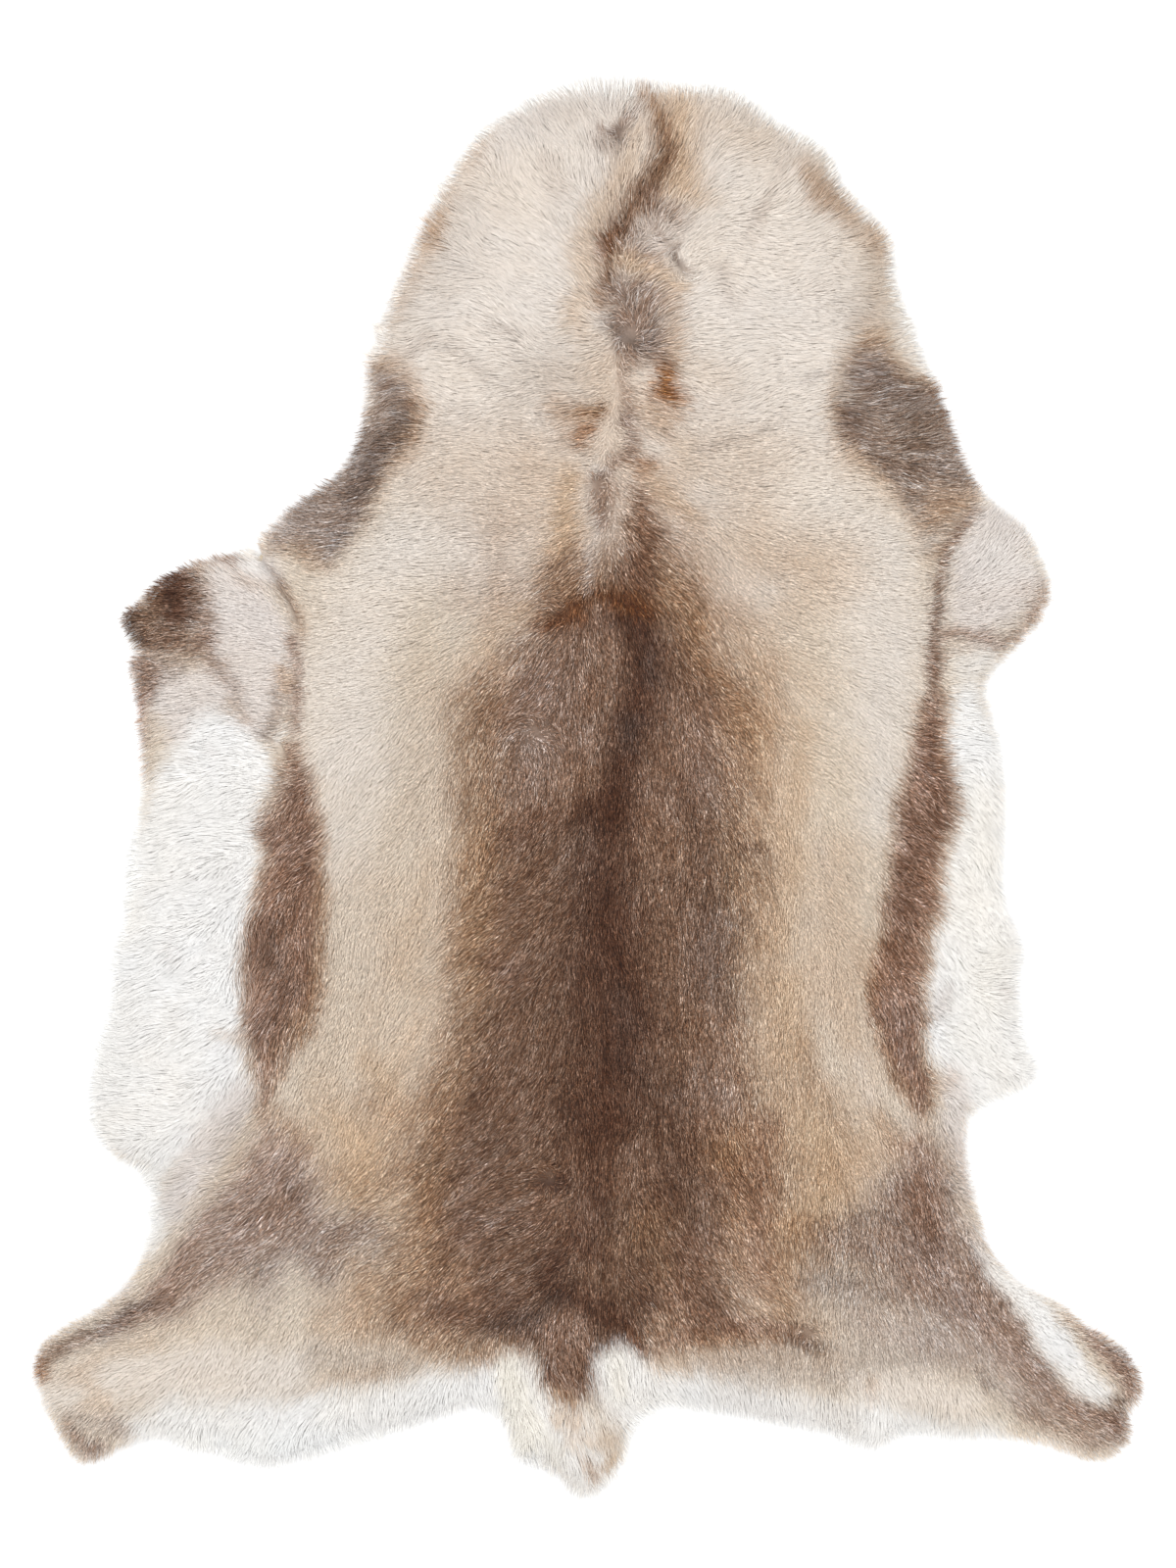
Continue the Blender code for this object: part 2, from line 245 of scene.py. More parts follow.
# How the hair was combed by growing: lines from root to tip, by region. Columns: x, y
COMB = {
    "back, right": (
        ((20, 190), (22, 0), (25, -250), (20, -500)),
        ((30, 215), (60, 160), (80, 60), (90, -60), (92, -300), (100, -420), (130, -500)),
        ((45, 250), (105, 190), (150, 110), (180, 0), (190, -120), (192, -300), (200, -420), (215, -520)),
        ((50, 285), (130, 242), (230, 218), (320, 205)),
        ((45, 240), (100, 190), (170, 150), (250, 120), (320, 100)),
        ((60, 170), (110, 110), (170, 55), (240, 10), (300, -30), (330, -50)),
        ((100, 90), (140, 10), (185, -60), (240, -120), (300, -165), (340, -190)),
        ((150, 0), (175, -100), (205, -200), (235, -290), (265, -370), (290, -450), (330, -530)),
        ((260, -120), (290, -200), (300, -300), (320, -380), (350, -440)),
    ),
    "rump and hind leg, right": (
        ((30, -430), (60, -470), (75, -560)),
        ((60, -350), (80, -400), (120, -455), (150, -510), (165, -580)),
        ((130, -380), (150, -430), (190, -480), (205, -530), (215, -590)),
        ((230, -400), (235, -460), (240, -520), (250, -600)),
        ((300, -400), (325, -460), (365, -520), (420, -575), (480, -605)),
        ((350, -400), (390, -470), (440, -510), (500, -550)),
        ((290, -480), (310, -550), (330, -600)),
        ((340, -500), (380, -570), (420, -605)),
    ),
    "back, left": (
        ((5, 60), (0, -60), (-5, -250), (0, -420), (0, -520)),
        ((-10, -20), (-45, -85), (-100, -145), (-150, -205), (-200, -280), (-250, -350), (-320, -405),
         (-400, -460)),
        ((-5, -100), (-40, -165), (-100, -230), (-160, -300), (-230, -365), (-310, -425), (-400, -485),
         (-490, -525)),
        ((0, -200), (-30, -260), (-80, -320), (-150, -375), (-230, -415), (-300, -470), (-350, -550),
         (-370, -600)),
        ((-20, -365), (-60, -372), (-130, -400), (-210, -440), (-260, -500), (-290, -590)),
        ((-15, -420), (-70, -450), (-130, -490), (-165, -540), (-180, -590)),
        ((-20, -470), (-40, -520), (-50, -560)),
        ((-80, 150), (-115, 95), (-160, 35), (-215, -20), (-270, -70), (-310, -110)),
        ((-60, 120), (-90, 60), (-110, 0), (-140, -70), (-170, -140), (-200, -230), (-235, -320),
         (-280, -380)),
        ((-95, 150), (-150, 110), (-230, 75), (-275, 55)),
        ((-160, 70), (-210, 0), (-245, -80), (-265, -160), (-285, -230), (-300, -290)),
        ((-225, 20), (-280, -50), (-310, -120), (-330, -190)),
        ((-260, -20), (-300, -80), (-335, -140)),
        ((-270, -150), (-305, -220), (-340, -290), (-380, -340)),
        ((-60, 265), (-150, 262), (-290, 258)),
        ((-60, 190), (-110, 175), (-200, 168), (-270, 165)),
        ((-100, 140), (-180, 125), (-270, 115)),
        ((5, 260), (-30, 245), (-80, 235), (-150, 230)),
        ((0, 215), (-25, 190), (-60, 165), (-100, 150)),
    ),
    "hind leg, left": (
        ((-330, -470), (-400, -520), (-480, -560), (-510, -570)),
        ((-300, -500), (-350, -560), (-385, -600)),
        ((-380, -520), (-440, -570), (-480, -610)),
        ((-200, -500), (-215, -560), (-220, -620)),
        ((-110, -510), (-115, -590)),
        ((-340, -390), (-400, -435), (-460, -480), (-512, -520)),
    ),
    "tail": (
        ((-75, -510), (-68, -560), (-55, -620)),
        ((-30, -510), (-25, -560), (-15, -640)),
        ((0, -520), (2, -580), (0, -650)),
        ((25, -510), (30, -560), (35, -610)),
    ),
    "neck, left": (
        ((0, 560), (-10, 650)),
        ((-30, 570), (-60, 640)),
        ((-10, 520), (-80, 590), (-120, 620)),
        ((-10, 500), (-90, 530), (-150, 560)),
        ((-20, 460), (-100, 480), (-170, 510)),
        ((-20, 430), (-120, 440), (-190, 455)),
        ((-20, 400), (-110, 402), (-205, 402)),
        ((-10, 350), (-120, 350), (-215, 348)),
        ((-10, 310), (-150, 308), (-240, 300)),
        ((-20, 280), (-160, 280), (-290, 265)),
    ),
    "neck, right": (
        ((50, 560), (55, 650)),
        ((70, 570), (95, 640)),
        ((80, 540), (130, 590), (160, 620)),
        ((80, 520), (150, 550), (215, 590)),
        ((90, 490), (170, 500), (270, 530)),
        ((90, 455), (180, 455), (280, 470)),
        ((70, 410), (180, 412), (300, 420)),
        ((60, 360), (180, 362), (320, 360)),
        ((50, 320), (120, 300), (220, 298), (340, 295)),
        ((40, 295), (100, 262), (200, 248), (350, 245)),
    ),
    "foreleg and belly, left": (
        ((-262, 160), (-300, 190), (-330, 215)),
        ((-275, 150), (-330, 160), (-400, 158), (-432, 150)),
        ((-275, 110), (-340, 105), (-425, 90)),
        ((-280, 80), (-340, 75), (-400, 62), (-425, 40)),
        ((-275, 20), (-340, 28), (-400, 25), (-412, 0)),
        ((-300, -45), (-350, -44), (-410, -44)),
        ((-325, -100), (-380, -102), (-425, -105)),
        ((-330, -150), (-380, -155), (-435, -160)),
        ((-330, -200), (-385, -205), (-440, -205)),
        ((-320, -250), (-390, -255), (-450, -260)),
        ((-320, -290), (-380, -300), (-455, -320)),
        ((-300, -290), (-350, -335), (-400, -375)),
        ((-330, -280), (-390, -320), (-440, -345)),
    ),
    "foreleg and belly, right": (
        ((325, 180), (360, 210), (385, 245)),
        ((325, 170), (370, 185), (420, 200)),
        ((325, 160), (370, 160), (425, 158)),
        ((325, 135), (370, 140), (410, 150)),
        ((330, 80), (365, 78), (385, 50)),
        ((330, 30), (360, 30), (384, 0)),
        ((330, -44), (365, -55), (384, -90)),
        ((325, -95), (365, -105), (385, -140)),
        ((320, -145), (355, -160), (390, -150)),
        ((320, -220), (360, -245), (410, -270)),
        ((315, -270), (360, -278), (400, -285)),
        ((330, -300), (352, -340), (365, -380)),
    ),
}

# Where the hair turns about a point. Columns: name, x, y, reach, twist in degrees, strength
WHORLS = (
    ("top of the neck", 29, 605, 13, 10, 0.9),
    ("parting of the neck", 60, 512, 20, 20, 0.6),
    ("star on the neck", 82, 481, 14, 0, 0.95),
    ("large swirl of the neck", 38, 418, 28, 30, 0.95),
    ("star at the withers", 5, 280, 14, 0, 0.8),
    ("cowlick on the left shoulder", -25, 165, 16, -40, 0.6),
    ("pale swirl of the saddle", -50, 52, 24, 35, 0.9),
    ("dark swirl of the loin", -38, -358, 18, 30, 0.9),
    ("swirl under the right rump", 201, -498, 12, 0, 0.8),
)

# How long the hair is, by region. Columns: name, x, y, reach along x, reach along y, length
LENGTHS = (
    ("neck", 20, 480, 230, 200, 23),
    ("shoulders", 0, 230, 250, 90, 15),
    ("saddle", 0, -80, 250, 260, 10.5),
    ("rump", 0, -420, 260, 100, 11.5),
    ("left foreleg", -380, 130, 60, 80, 12),
    ("right foreleg", 385, 190, 50, 70, 15),
    ("left belly", -385, -150, 70, 190, 26),
    ("right belly", 365, -120, 50, 180, 22),
    ("left hind leg", -450, -540, 90, 60, 12),
    ("right hind leg", 450, -550, 80, 60, 12),
    ("rear fringe, left", -240, -600, 160, 30, 24),
    ("rear fringe, right", 220, -595, 160, 30, 22),
    ("tail", 0, -590, 80, 60, 28),
)

# Where the hair hangs further past the outline than elsewhere. Columns: name, x, y, reach, how much further
OVERHANGS = (
    ("top of the neck", 15, 650, 50, 7),
    ("left edge of the neck", -192, 418, 28, 5),
    ("left neck patch", -262, 270, 40, 4),
    ("top of the left foreleg", -340, 213, 44, 10),
    ("notch of the left foreleg", -412, 127, 12, 9),
    ("left belly", -416, -72, 40, 6),
    ("left haunch", -400, -372, 24, 4),
    ("right haunch", 350, -362, 24, 4),
    ("left of the tail", -52, -620, 16, -7),
    ("left rear fringe", -262, -616, 50, -5),
    ("right rear fringe", 262, -600, 40, -4),
)

# Outlines of the large markings, as x, y
AREAS = {
    "saddle": (
        (-26, 212), (-40, 190), (-52, 166), (-50, 148), (-72, 128), (-98, 102), (-112, 75), (-112, 50),
        (-109, 0), (-110, -50), (-118, -100), (-121, -150), (-120, -195), (-132, -250), (-160, -300),
        (-164, -345), (-164, -400), (-174, -450), (-184, -487), (-152, -505), (-100, -520), (-45, -519),
        (5, -503), (50, -508), (110, -505), (170, -505), (205, -505), (204, -496), (160, -490), (136, -476),
        (130, -450), (160, -405), (178, -360), (156, -300), (149, -250), (144, -200), (146, -150),
        (150, -100), (148, -50), (151, 0), (158, 50), (154, 80), (142, 105), (124, 126), (112, 146),
        (102, 166), (88, 186), (72, 206), (60, 236), (54, 270), (44, 272), (42, 248), (30, 220), (5, 206),
        (-20, 216),
    ),
    "left neck patch": (
        (-190, 394), (-170, 386), (-156, 368), (-149, 345), (-157, 324), (-173, 304), (-190, 288),
        (-199, 268), (-205, 248), (-214, 234), (-225, 222), (-234, 210), (-248, 210), (-257, 218),
        (-272, 224), (-292, 230), (-312, 262), (-245, 310), (-230, 350), (-214, 394),
    ),
    "right neck patch": (
        (250, 414), (262, 410), (273, 395), (292, 382), (322, 376), (348, 340), (362, 305), (354, 276),
        (344, 260), (330, 240), (318, 224), (308, 222), (298, 244), (285, 262), (269, 284), (254, 300),
        (240, 306), (228, 322), (221, 344), (229, 372), (236, 400),
    ),
    "left side band": (
        (-275, 44), (-265, 44), (-258, 25), (-252, 8), (-248, -15), (-244, -45), (-242, -75), (-243, -110),
        (-245, -150), (-246, -195), (-257, -222), (-272, -245), (-286, -266), (-294, -290), (-301, -300),
        (-307, -262), (-312, -240), (-316, -215), (-317, -170), (-315, -140), (-310, -100), (-302, -72),
        (-299, -55), (-302, -38), (-300, -26), (-290, -14), (-279, 0), (-276, 15), (-276, 30),
    ),
    "right side band": (
        (311, 88), (304, 68), (299, 45), (293, 20), (287, 0), (280, -20), (275, -50), (273, -75),
         (271, -100),
        (270, -128), (262, -150), (255, -175), (258, -200), (266, -232), (279, -262), (292, -282),
        (304, -296), (313, -290), (311, -260), (308, -230), (305, -200), (306, -175), (311, -150),
        (315, -125), (321, -100), (320, -75), (325, -50), (334, -18), (333, 0), (330, 20), (327, 50),
        (323, 88),
    ),
    "left haunch": (
        (-296, -306), (-262, -330), (-250, -350), (-243, -378), (-236, -402), (-256, -418), (-292, -430),
        (-326, -452), (-360, -470), (-398, -485), (-428, -494), (-438, -484), (-408, -470), (-388, -452),
        (-380, -430), (-358, -400), (-336, -365), (-315, -335),
    ),
    "right haunch": (
        (300, -316), (326, -338), (331, -372), (341, -402), (352, -424), (374, -456), (400, -500),
        (428, -546), (462, -568), (492, -572), (486, -596), (458, -592), (430, -578), (402, -557),
        (368, -530), (334, -498), (302, -470), (284, -432), (258, -402), (268, -372), (284, -348),
    ),
    "left rear fringe": (
        (-420, -584), (-385, -563), (-330, -558), (-275, -562), (-250, -552), (-215, -546), (-168, -541),
        (-150, -534), (-104, -538), (-97, -530), (-66, -525), (-52, -531), (-45, -548), (-38, -562),
        (-40, -640), (-200, -660), (-420, -640),
    ),
    "right rear fringe": (
        (3, -530), (8, -517), (28, -509), (38, -517), (50, -525), (76, -531), (120, -538), (170, -550),
        (225, -562), (262, -560), (310, -576), (380, -586), (400, -640), (60, -620), (33, -596),
        (20, -578), (10, -556),
    ),
    "tongue of white": (
        (350, -410), (374, -433), (402, -450), (430, -474), (441, -495), (452, -515), (469, -536),
        (482, -549), (470, -568), (442, -555), (421, -530), (406, -503), (391, -482), (369, -452),
        (350, -421),
    ),
}

# The markings, painted one over the other. Columns: the colour, its strength and the softness of its edge,
# and then either an area's name and how far past it the colour runs, or a stroke's points as x, y, half width
MARKINGS = {
    "neck": (
        ("greyish cream", 1.0, 45, (60, 600, 170), (30, 450, 220), (30, 340, 220)),
        ("cream", 0.55, 40, (-50, 575, 30), (-80, 450, 50), (-110, 400, 40)),
        ("oat", 0.3, 30, (-110, 545, 20), (-120, 500, 24), (-135, 470, 16)),
        ("cream", 0.8, 40, (140, 560, 30), (170, 500, 50), (150, 430, 60), (190, 380, 50)),
        ("lilac grey", 0.4, 20, (-60, 615, 14), (0, 637, 12), (30, 640, 8)),
        ("silver", 0.3, 12, (-42, 575, 8), (-22, 545, 8)),
        ("rim tan", 0.9, 16, (-95, 605, 5), (-138, 540, 12), (-160, 485, 15), (-190, 430, 9),
         (-203, 395, 8)),
        ("tan", 0.75, 9, (-152, 525, 7), (-140, 508, 9), (-134, 530, 7)),
        ("cream", 0.5, 14, (-124, 572, 9), (-112, 560, 8)),
        ("rim tan", 0.5, 12, (-192, 428, 8), (-204, 412, 6)),
        ("tan", 0.4, 14, (40, 362, 8)),
        ("cream", 0.45, 14, (238, 462, 10), (240, 440, 10)),
        ("tan", 0.4, 16, (240, 303, 12), (272, 322, 10), (277, 352, 8)),
        ("rim tan", 0.75, 12, (196, 574, 8), (218, 550, 18), (256, 512, 16), (270, 490, 12)),
        ("tan", 0.6, 10, (200, 560, 7), (207, 543, 11), (232, 529, 9)),
        ("tan", 0.5, 10, (262, 512, 7), (272, 500, 6)),
        ("rim tan", 0.5, 14, (262, 470, 10), (262, 445, 8)),
        ("sand", 0.45, 40, (-130, 290, 44), (-60, 290, 44), (-30, 250, 40)),
        ("tan", 0.15, 26, (-50, 310, 24), (-50, 260, 24)),
        ("oat", 0.6, 34, (-40, 380, 26), (0, 380, 20)),
        ("tan", 0.12, 14, (-30, 375, 8), (-22, 402, 6)),
        ("sand", 0.35, 22, (85, 388, 16), (118, 372, 14)),
        ("sand", 0.35, 16, (-10, 302, 14), (-42, 300, 10)),
        ("sand", 0.4, 25, (110, 615, 20), (150, 600, 20)),
        ("sand", 0.5, 26, (100, 310, 30), (170, 275, 44), (240, 275, 34)),
        ("slate brown", 0.38, 5, (-88, 428, 2), (-60, 420, 3)),
        ("slate brown", 0.3, 7, (-130, 405, 3), (-105, 398, 4), (-90, 385, 3)),
        ("silver", 0.5, 8, (-145, 415, 4), (-160, 400, 3)),
        ("slate brown", 0.3, 5, (162, 545, 2), (150, 522, 4)),
        ("silver", 0.4, 8, (180, 590, 4), (165, 555, 4), (145, 505, 5)),
        ("slate brown", 0.4, 4, (192, 377, 4), (205, 380, 3), (225, 390, 2)),
        ("slate brown", 0.3, 5, (172, 348, 3), (165, 330, 3), (140, 322, 2), (100, 312, 4)),
        ("smoke", 0.3, 8, (118, 478, 5), (130, 450, 4)),
    ),
    "neck stripe": (
        ("golden tan", 0.75, 18, (80, 642, 10), (82, 620, 12), (84, 590, 14), (84, 560, 18), (98, 545, 8)),
        ("golden tan", 0.6, 16, (44, 600, 6), (36, 565, 10), (14, 530, 12), (-2, 495, 11), (-6, 460, 9),
         (-16, 432, 8)),
        ("sand", 0.6, 20, (20, 385, 26), (30, 350, 30), (25, 315, 24)),
        ("warm brown", 0.9, 12, (50, 648, 6), (59, 628, 8), (69, 605, 10), (70, 590, 10), (67, 574, 10),
         (61, 560, 11), (54, 547, 11), (46, 537, 11), (37, 524, 11), (29, 511, 11), (22, 499, 10),
         (17, 487, 9), (14, 473, 8), (12, 460, 7), (9, 448, 5)),
        ("bark", 0.8, 8, (70, 606, 5), (71, 592, 6), (67, 575, 7), (60, 560, 8), (51, 547, 9),
         (42, 535, 8), (32, 521, 8)),
        ("dark rust", 0.85, 8, (27, 511, 7), (21, 500, 8), (15, 491, 5)),
        ("bark", 0.6, 7, (15, 478, 5), (13, 465, 5)),
        ("mocha", 0.9, 7, (14, 600, 4), (27, 602, 8), (36, 616, 5), (42, 625, 3)),
        ("peat", 0.5, 4, (24, 601, 4), (31, 606, 4)),
        ("smoke", 0.8, 8, (12, 586, 5), (24, 584, 5), (32, 596, 5)),
        ("mocha", 0.7, 12, (56, 545, 10), (72, 532, 11), (82, 520, 6)),
        ("mocha", 0.6, 12, (42, 512, 10), (48, 500, 8)),
        ("silver", 0.6, 12, (56, 512, 12), (72, 500, 10)),
        ("mocha", 0.6, 5, (60, 520, 3), (66, 500, 3), (80, 484, 5), (96, 474, 3)),
        ("peat", 0.6, 5, (74, 488, 3), (83, 480, 5), (90, 472, 3)),
        ("rust", 0.5, 9, (35, 490, 6), (55, 485, 7), (62, 478, 4)),
        ("golden tan", 0.75, 12, (32, 482, 9), (55, 472, 9), (78, 462, 9)),
        ("mocha", 0.9, 12, (28, 455, 12), (46, 458, 12), (58, 444, 11), (40, 430, 22), (40, 410, 18),
         (62, 412, 12)),
        ("slate brown", 0.8, 8, (20, 432, 6), (30, 413, 8), (44, 406, 8), (58, 416, 8), (63, 430, 6)),
        ("peat", 0.55, 5, (34, 409, 4), (48, 405, 4)),
        ("slate brown", 0.6, 7, (36, 450, 6), (50, 460, 5)),
        ("tan", 0.6, 10, (72, 450, 4), (76, 425, 6), (78, 400, 8)),
        ("bark", 0.75, 8, (60, 398, 7), (74, 390, 8)),
        ("rust", 1.0, 9, (68, 385, 10), (66, 372, 11), (74, 364, 11), (84, 358, 7)),
        ("dark rust", 0.5, 5, (68, 372, 5), (76, 366, 4)),
        ("tan", 0.7, 12, (58, 350, 10), (70, 338, 12), (82, 348, 7)),
        ("mocha", 0.7, 8, (32, 400, 4), (32, 380, 5), (35, 360, 7), (38, 345, 7)),
        ("tan", 0.6, 14, (-20, 350, 12), (-10, 330, 13)),
        ("warm brown", 0.9, 8, (-4, 346, 8), (6, 347, 9), (12, 350, 6)),
        ("rust", 0.9, 7, (-6, 324, 6), (1, 330, 6)),
        ("mocha", 0.8, 8, (36, 342, 7), (40, 328, 6), (36, 312, 8), (22, 305, 7)),
        ("rust", 0.75, 7, (42, 301, 5), (56, 300, 6), (45, 290, 6)),
        ("sand", 0.6, 16, (84, 315, 9), (86, 298, 9)),
        ("golden tan", 0.65, 14, (64, 285, 9), (80, 268, 10), (92, 254, 9)),
        ("golden tan", 0.4, 12, (-2, 420, 7)),
        ("golden tan", 0.8, 14, (-12, 290, 9), (-18, 265, 11), (-22, 240, 13), (-25, 222, 11)),
        ("snow", 0.4, 4, (8, 300, 3), (22, 293, 2)),
        ("mocha", 0.9, 7, (14, 290, 9), (16, 270, 9), (14, 252, 9), (10, 238, 6)),
    ),
    "dark patches of the neck": (
        ("tan", 0.75, 12, "left neck patch", 8),
        ("slate brown", 0.9, 11, "left neck patch", -2),
        ("rim tan", 0.9, 14, (-208, 392, 10), (-206, 368, 10), (-213, 346, 6)),
        ("cream", 0.6, 10, (-212, 366, 7), (-218, 352, 5)),
        ("smoke", 0.6, 12, (-190, 372, 10), (-176, 366, 7)),
        ("slate brown", 0.7, 12, (-196, 300, 13), (-212, 274, 14), (-222, 250, 13), (-230, 226, 9)),
        ("peat", 0.6, 11, (-168, 340, 7), (-182, 322, 10), (-200, 298, 10), (-214, 275, 7)),
        ("warm brown", 0.5, 6, (-160, 362, 3), (-156, 345, 4), (-160, 328, 4)),
        ("smoke", 0.6, 10, (-290, 240, 10), (-270, 250, 10), (-285, 228, 8)),
        ("silver", 0.8, 10, (-296, 238, 9), (-280, 252, 8)),
        ("smoke", 0.75, 12, (-268, 242, 14), (-250, 232, 14), (-240, 250, 12)),
        ("tan", 0.35, 10, (-262, 226, 10), (-245, 218, 8)),
        ("slate brown", 0.6, 9, (-216, 258, 8), (-222, 236, 8), (-236, 216, 6)),
        ("golden tan", 0.6, 11, "right neck patch", 9),
        ("rust", 0.4, 8, "right neck patch", 3),
        ("slate brown", 0.9, 12, "right neck patch", -2),
        ("bark", 0.5, 10, (234, 345, 6), (236, 325, 7)),
        ("peat", 0.28, 14, (272, 382, 6), (285, 365, 12), (292, 345, 15), (300, 320, 12), (308, 296, 9)),
        ("tan", 0.4, 10, (250, 432, 8), (262, 420, 8), (244, 412, 6)),
        ("bark", 0.6, 7, (322, 368, 3), (336, 342, 4), (350, 308, 5)),
        ("tan", 0.6, 11, (320, 270, 9), (338, 268, 8)),
        ("sand", 0.4, 8, (342, 262, 6)),
        ("tan", 0.55, 12, (306, 244, 9), (322, 256, 12)),
        ("oat", 0.7, 10, (308, 228, 8), (332, 244, 8)),
        ("cream", 0.9, 9, (278, 434, 7), (288, 408, 8), (300, 392, 7)),
        ("oat", 0.5, 12, (246, 450, 8), (240, 420, 8), (228, 392, 8), (226, 366, 5)),
        ("cream", 0.5, 10, (236, 364, 7)),
        ("silver", 0.5, 12, (316, 272, 8), (346, 271, 8)),
        ("cream", 0.6, 12, (-204, 363, 8)),
    ),
    "flanks": (
        ("pale fawn", 1.0, 28, (-165, 235, 24), (-205, 172, 34), (-230, 100, 40), (-228, 30, 38),
         (-228, -20, 20), (-226, -70, 10)),
        ("sand", 0.4, 30, (-200, -90, 30), (-200, -150, 40), (-215, -220, 40)),
        ("pale fawn", 0.5, 26, (-234, 30, 8), (-212, -10, 14), (-208, -60, 10)),
        ("cream", 0.5, 18, (-238, 78, 8), (-242, 50, 10), (-238, 24, 8)),
        ("cream", 0.4, 18, (-192, 8, 10), (-200, -26, 10)),
        ("tan", 0.3, 16, (-120, 190, 10), (-116, 172, 10)),
        ("golden tan", 0.35, 24, (-222, -190, 14), (-235, -240, 18), (-250, -270, 14)),
        ("sand", 0.35, 25, (-150, 120, 14), (-155, 50, 16), (-160, -20, 16)),
        ("tan", 0.4, 24, (-82, 245, 14), (-86, 208, 16), (-84, 176, 12)),
        ("fawn", 0.7, 20, (-215, -100, 12), (-222, -180, 16), (-230, -240, 18)),
        ("golden tan", 0.3, 16, (-150, -60, 8), (-160, -120, 12), (-172, -170, 12), (-150, -185, 8)),
        ("sand", 0.7, 14, (-160, -215, 10), (-180, -260, 12)),
        ("golden tan", 0.6, 16, (-185, -275, 12), (-205, -250, 10)),
        ("golden tan", 0.8, 30, (-235, -300, 14), (-200, -325, 28), (-210, -365, 24)),
        ("warm brown", 0.4, 22, (-236, -350, 14), (-200, -375, 20), (-175, -345, 14)),
        ("smoke", 0.25, 4, (-184, -145, 2), (-188, -165, 2)),
        ("pale fawn", 1.0, 30, (200, 280, 30), (250, 220, 50), (270, 150, 40), (268, 80, 32),
         (272, 20, 20), (262, -30, 10)),
        ("sand", 0.7, 28, (120, 236, 20), (165, 215, 24), (225, 205, 24), (160, 150, 20), (195, 100, 12)),
        ("tan", 0.15, 30, (150, 208, 16), (190, 204, 14)),
        ("golden tan", 0.6, 18, (195, 60, 8), (192, 10, 12), (182, -40, 12), (186, -90, 16),
         (175, -140, 12)),
        ("sand", 0.8, 24, (228, -60, 20), (225, -120, 26), (215, -180, 30)),
        ("silver", 0.3, 8, (210, -50, 4), (222, -80, 5)),
        ("golden tan", 0.7, 20, (180, -180, 16), (185, -240, 20)),
        ("sand", 0.8, 14, (235, -190, 12), (240, -230, 15), (252, -262, 12), (258, -288, 9)),
        ("pale fawn", 0.5, 9, (245, -245, 6), (258, -280, 7)),
        ("golden tan", 0.85, 34, (205, -300, 26), (222, -335, 32), (205, -385, 28)),
        ("tan", 0.45, 22, (215, -285, 12), (255, -340, 14), (185, -330, 12), (240, -372, 12)),
        ("tan", 0.8, 22, (178, -400, 20), (172, -440, 26), (175, -475, 20)),
        ("warm brown", 0.35, 20, (192, -405, 12), (196, -440, 12), (190, -472, 10)),
        ("warm brown", 0.6, 14, (200, -412, 16), (225, -400, 14), (215, -430, 10)),
    ),
    "saddle": (
        ("tan", 0.62, 38, "saddle", 15),
        ("warm brown", 0.55, 34, "saddle", -1),
        ("cocoa", 0.92, 34, "saddle", -15),
        ("golden tan", 0.5, 18, (-80, 150, 9), (-60, 165, 7), (-95, 135, 8)),
        ("warm brown", 0.35, 16, (-38, 190, 10), (-14, 192, 12), (20, 212, 8)),
        ("warm brown", 0.65, 20, (50, 240, 10), (58, 210, 14), (80, 182, 18), (100, 152, 14)),
        ("side band dark", 0.7, 13, (47, 272, 4), (50, 250, 7), (52, 230, 10), (49, 208, 15),
         (44, 190, 19)),
        ("dark rust", 0.5, 10, (49, 262, 3), (53, 238, 5), (52, 212, 9), (48, 195, 12)),
        ("tan", 0.5, 26, (86, 238, 12), (104, 205, 16), (125, 175, 16), (150, 130, 12), (168, 70, 8)),
        ("warm brown", 0.4, 20, (80, 212, 10), (94, 182, 12), (110, 155, 10)),
        ("mocha", 0.75, 26, (-20, 125, 22), (-48, 105, 28), (-55, 60, 40), (-60, 10, 34)),
        ("smoke", 0.35, 16, (-56, 46, 12), (-46, 26, 8)),
        ("bark", 0.35, 20, (-96, 88, 8), (-98, 66, 10), (-100, 45, 8)),
        ("bark", 0.7, 26, (-52, -50, 30), (-52, -110, 36), (-46, -190, 46), (-58, -250, 50),
         (-60, -320, 62)),
        ("side band dark", 0.75, 12, (-20, -20, 14), (-45, -30, 16), (-80, -50, 10)),
        ("warm brown", 0.3, 18, (-100, -20, 8), (-106, -60, 10), (-112, -100, 12), (-112, -150, 12)),
        ("tan", 0.34, 28, (-92, 112, 12), (-96, 40, 12), (-98, -50, 14), (-104, -120, 14),
         (-104, -180, 12)),
        ("warm brown", 0.4, 20, (-122, 90, 8), (-122, 45, 8), (-118, -20, 8)),
        ("warm brown", 0.35, 22, (-112, -90, 12), (-112, -150, 10), (-118, -220, 14), (-140, -320, 14)),
        ("side band dark", 0.65, 10, (-70, -165, 12), (-100, -155, 10)),
        ("mocha", 0.65, 22, (98, 60, 14), (115, 30, 20), (118, -15, 16), (116, -60, 8)),
        ("tan", 0.34, 22, (128, 62, 12), (132, 20, 12), (128, -30, 12), (128, -90, 8)),
        ("tan", 0.55, 20, (160, 45, 8), (162, 10, 8), (160, -60, 10), (158, -130, 9)),
        ("cocoa", 0.3, 16, (150, -40, 8), (155, -95, 9), (152, -130, 7)),
        ("bark", 0.6, 22, (85, -60, 34), (92, -120, 40), (84, -190, 38), (80, -250, 38)),
        ("umber", 0.2, 30, (108, 20, 16), (120, -60, 18), (116, -130, 20), (112, -220, 24)),
        ("tan", 0.35, 20, (160, -90, 8), (164, -150, 10), (166, -210, 12)),
        ("mocha", 0.5, 18, (120, -130, 16), (125, -220, 16), (128, -280, 14)),
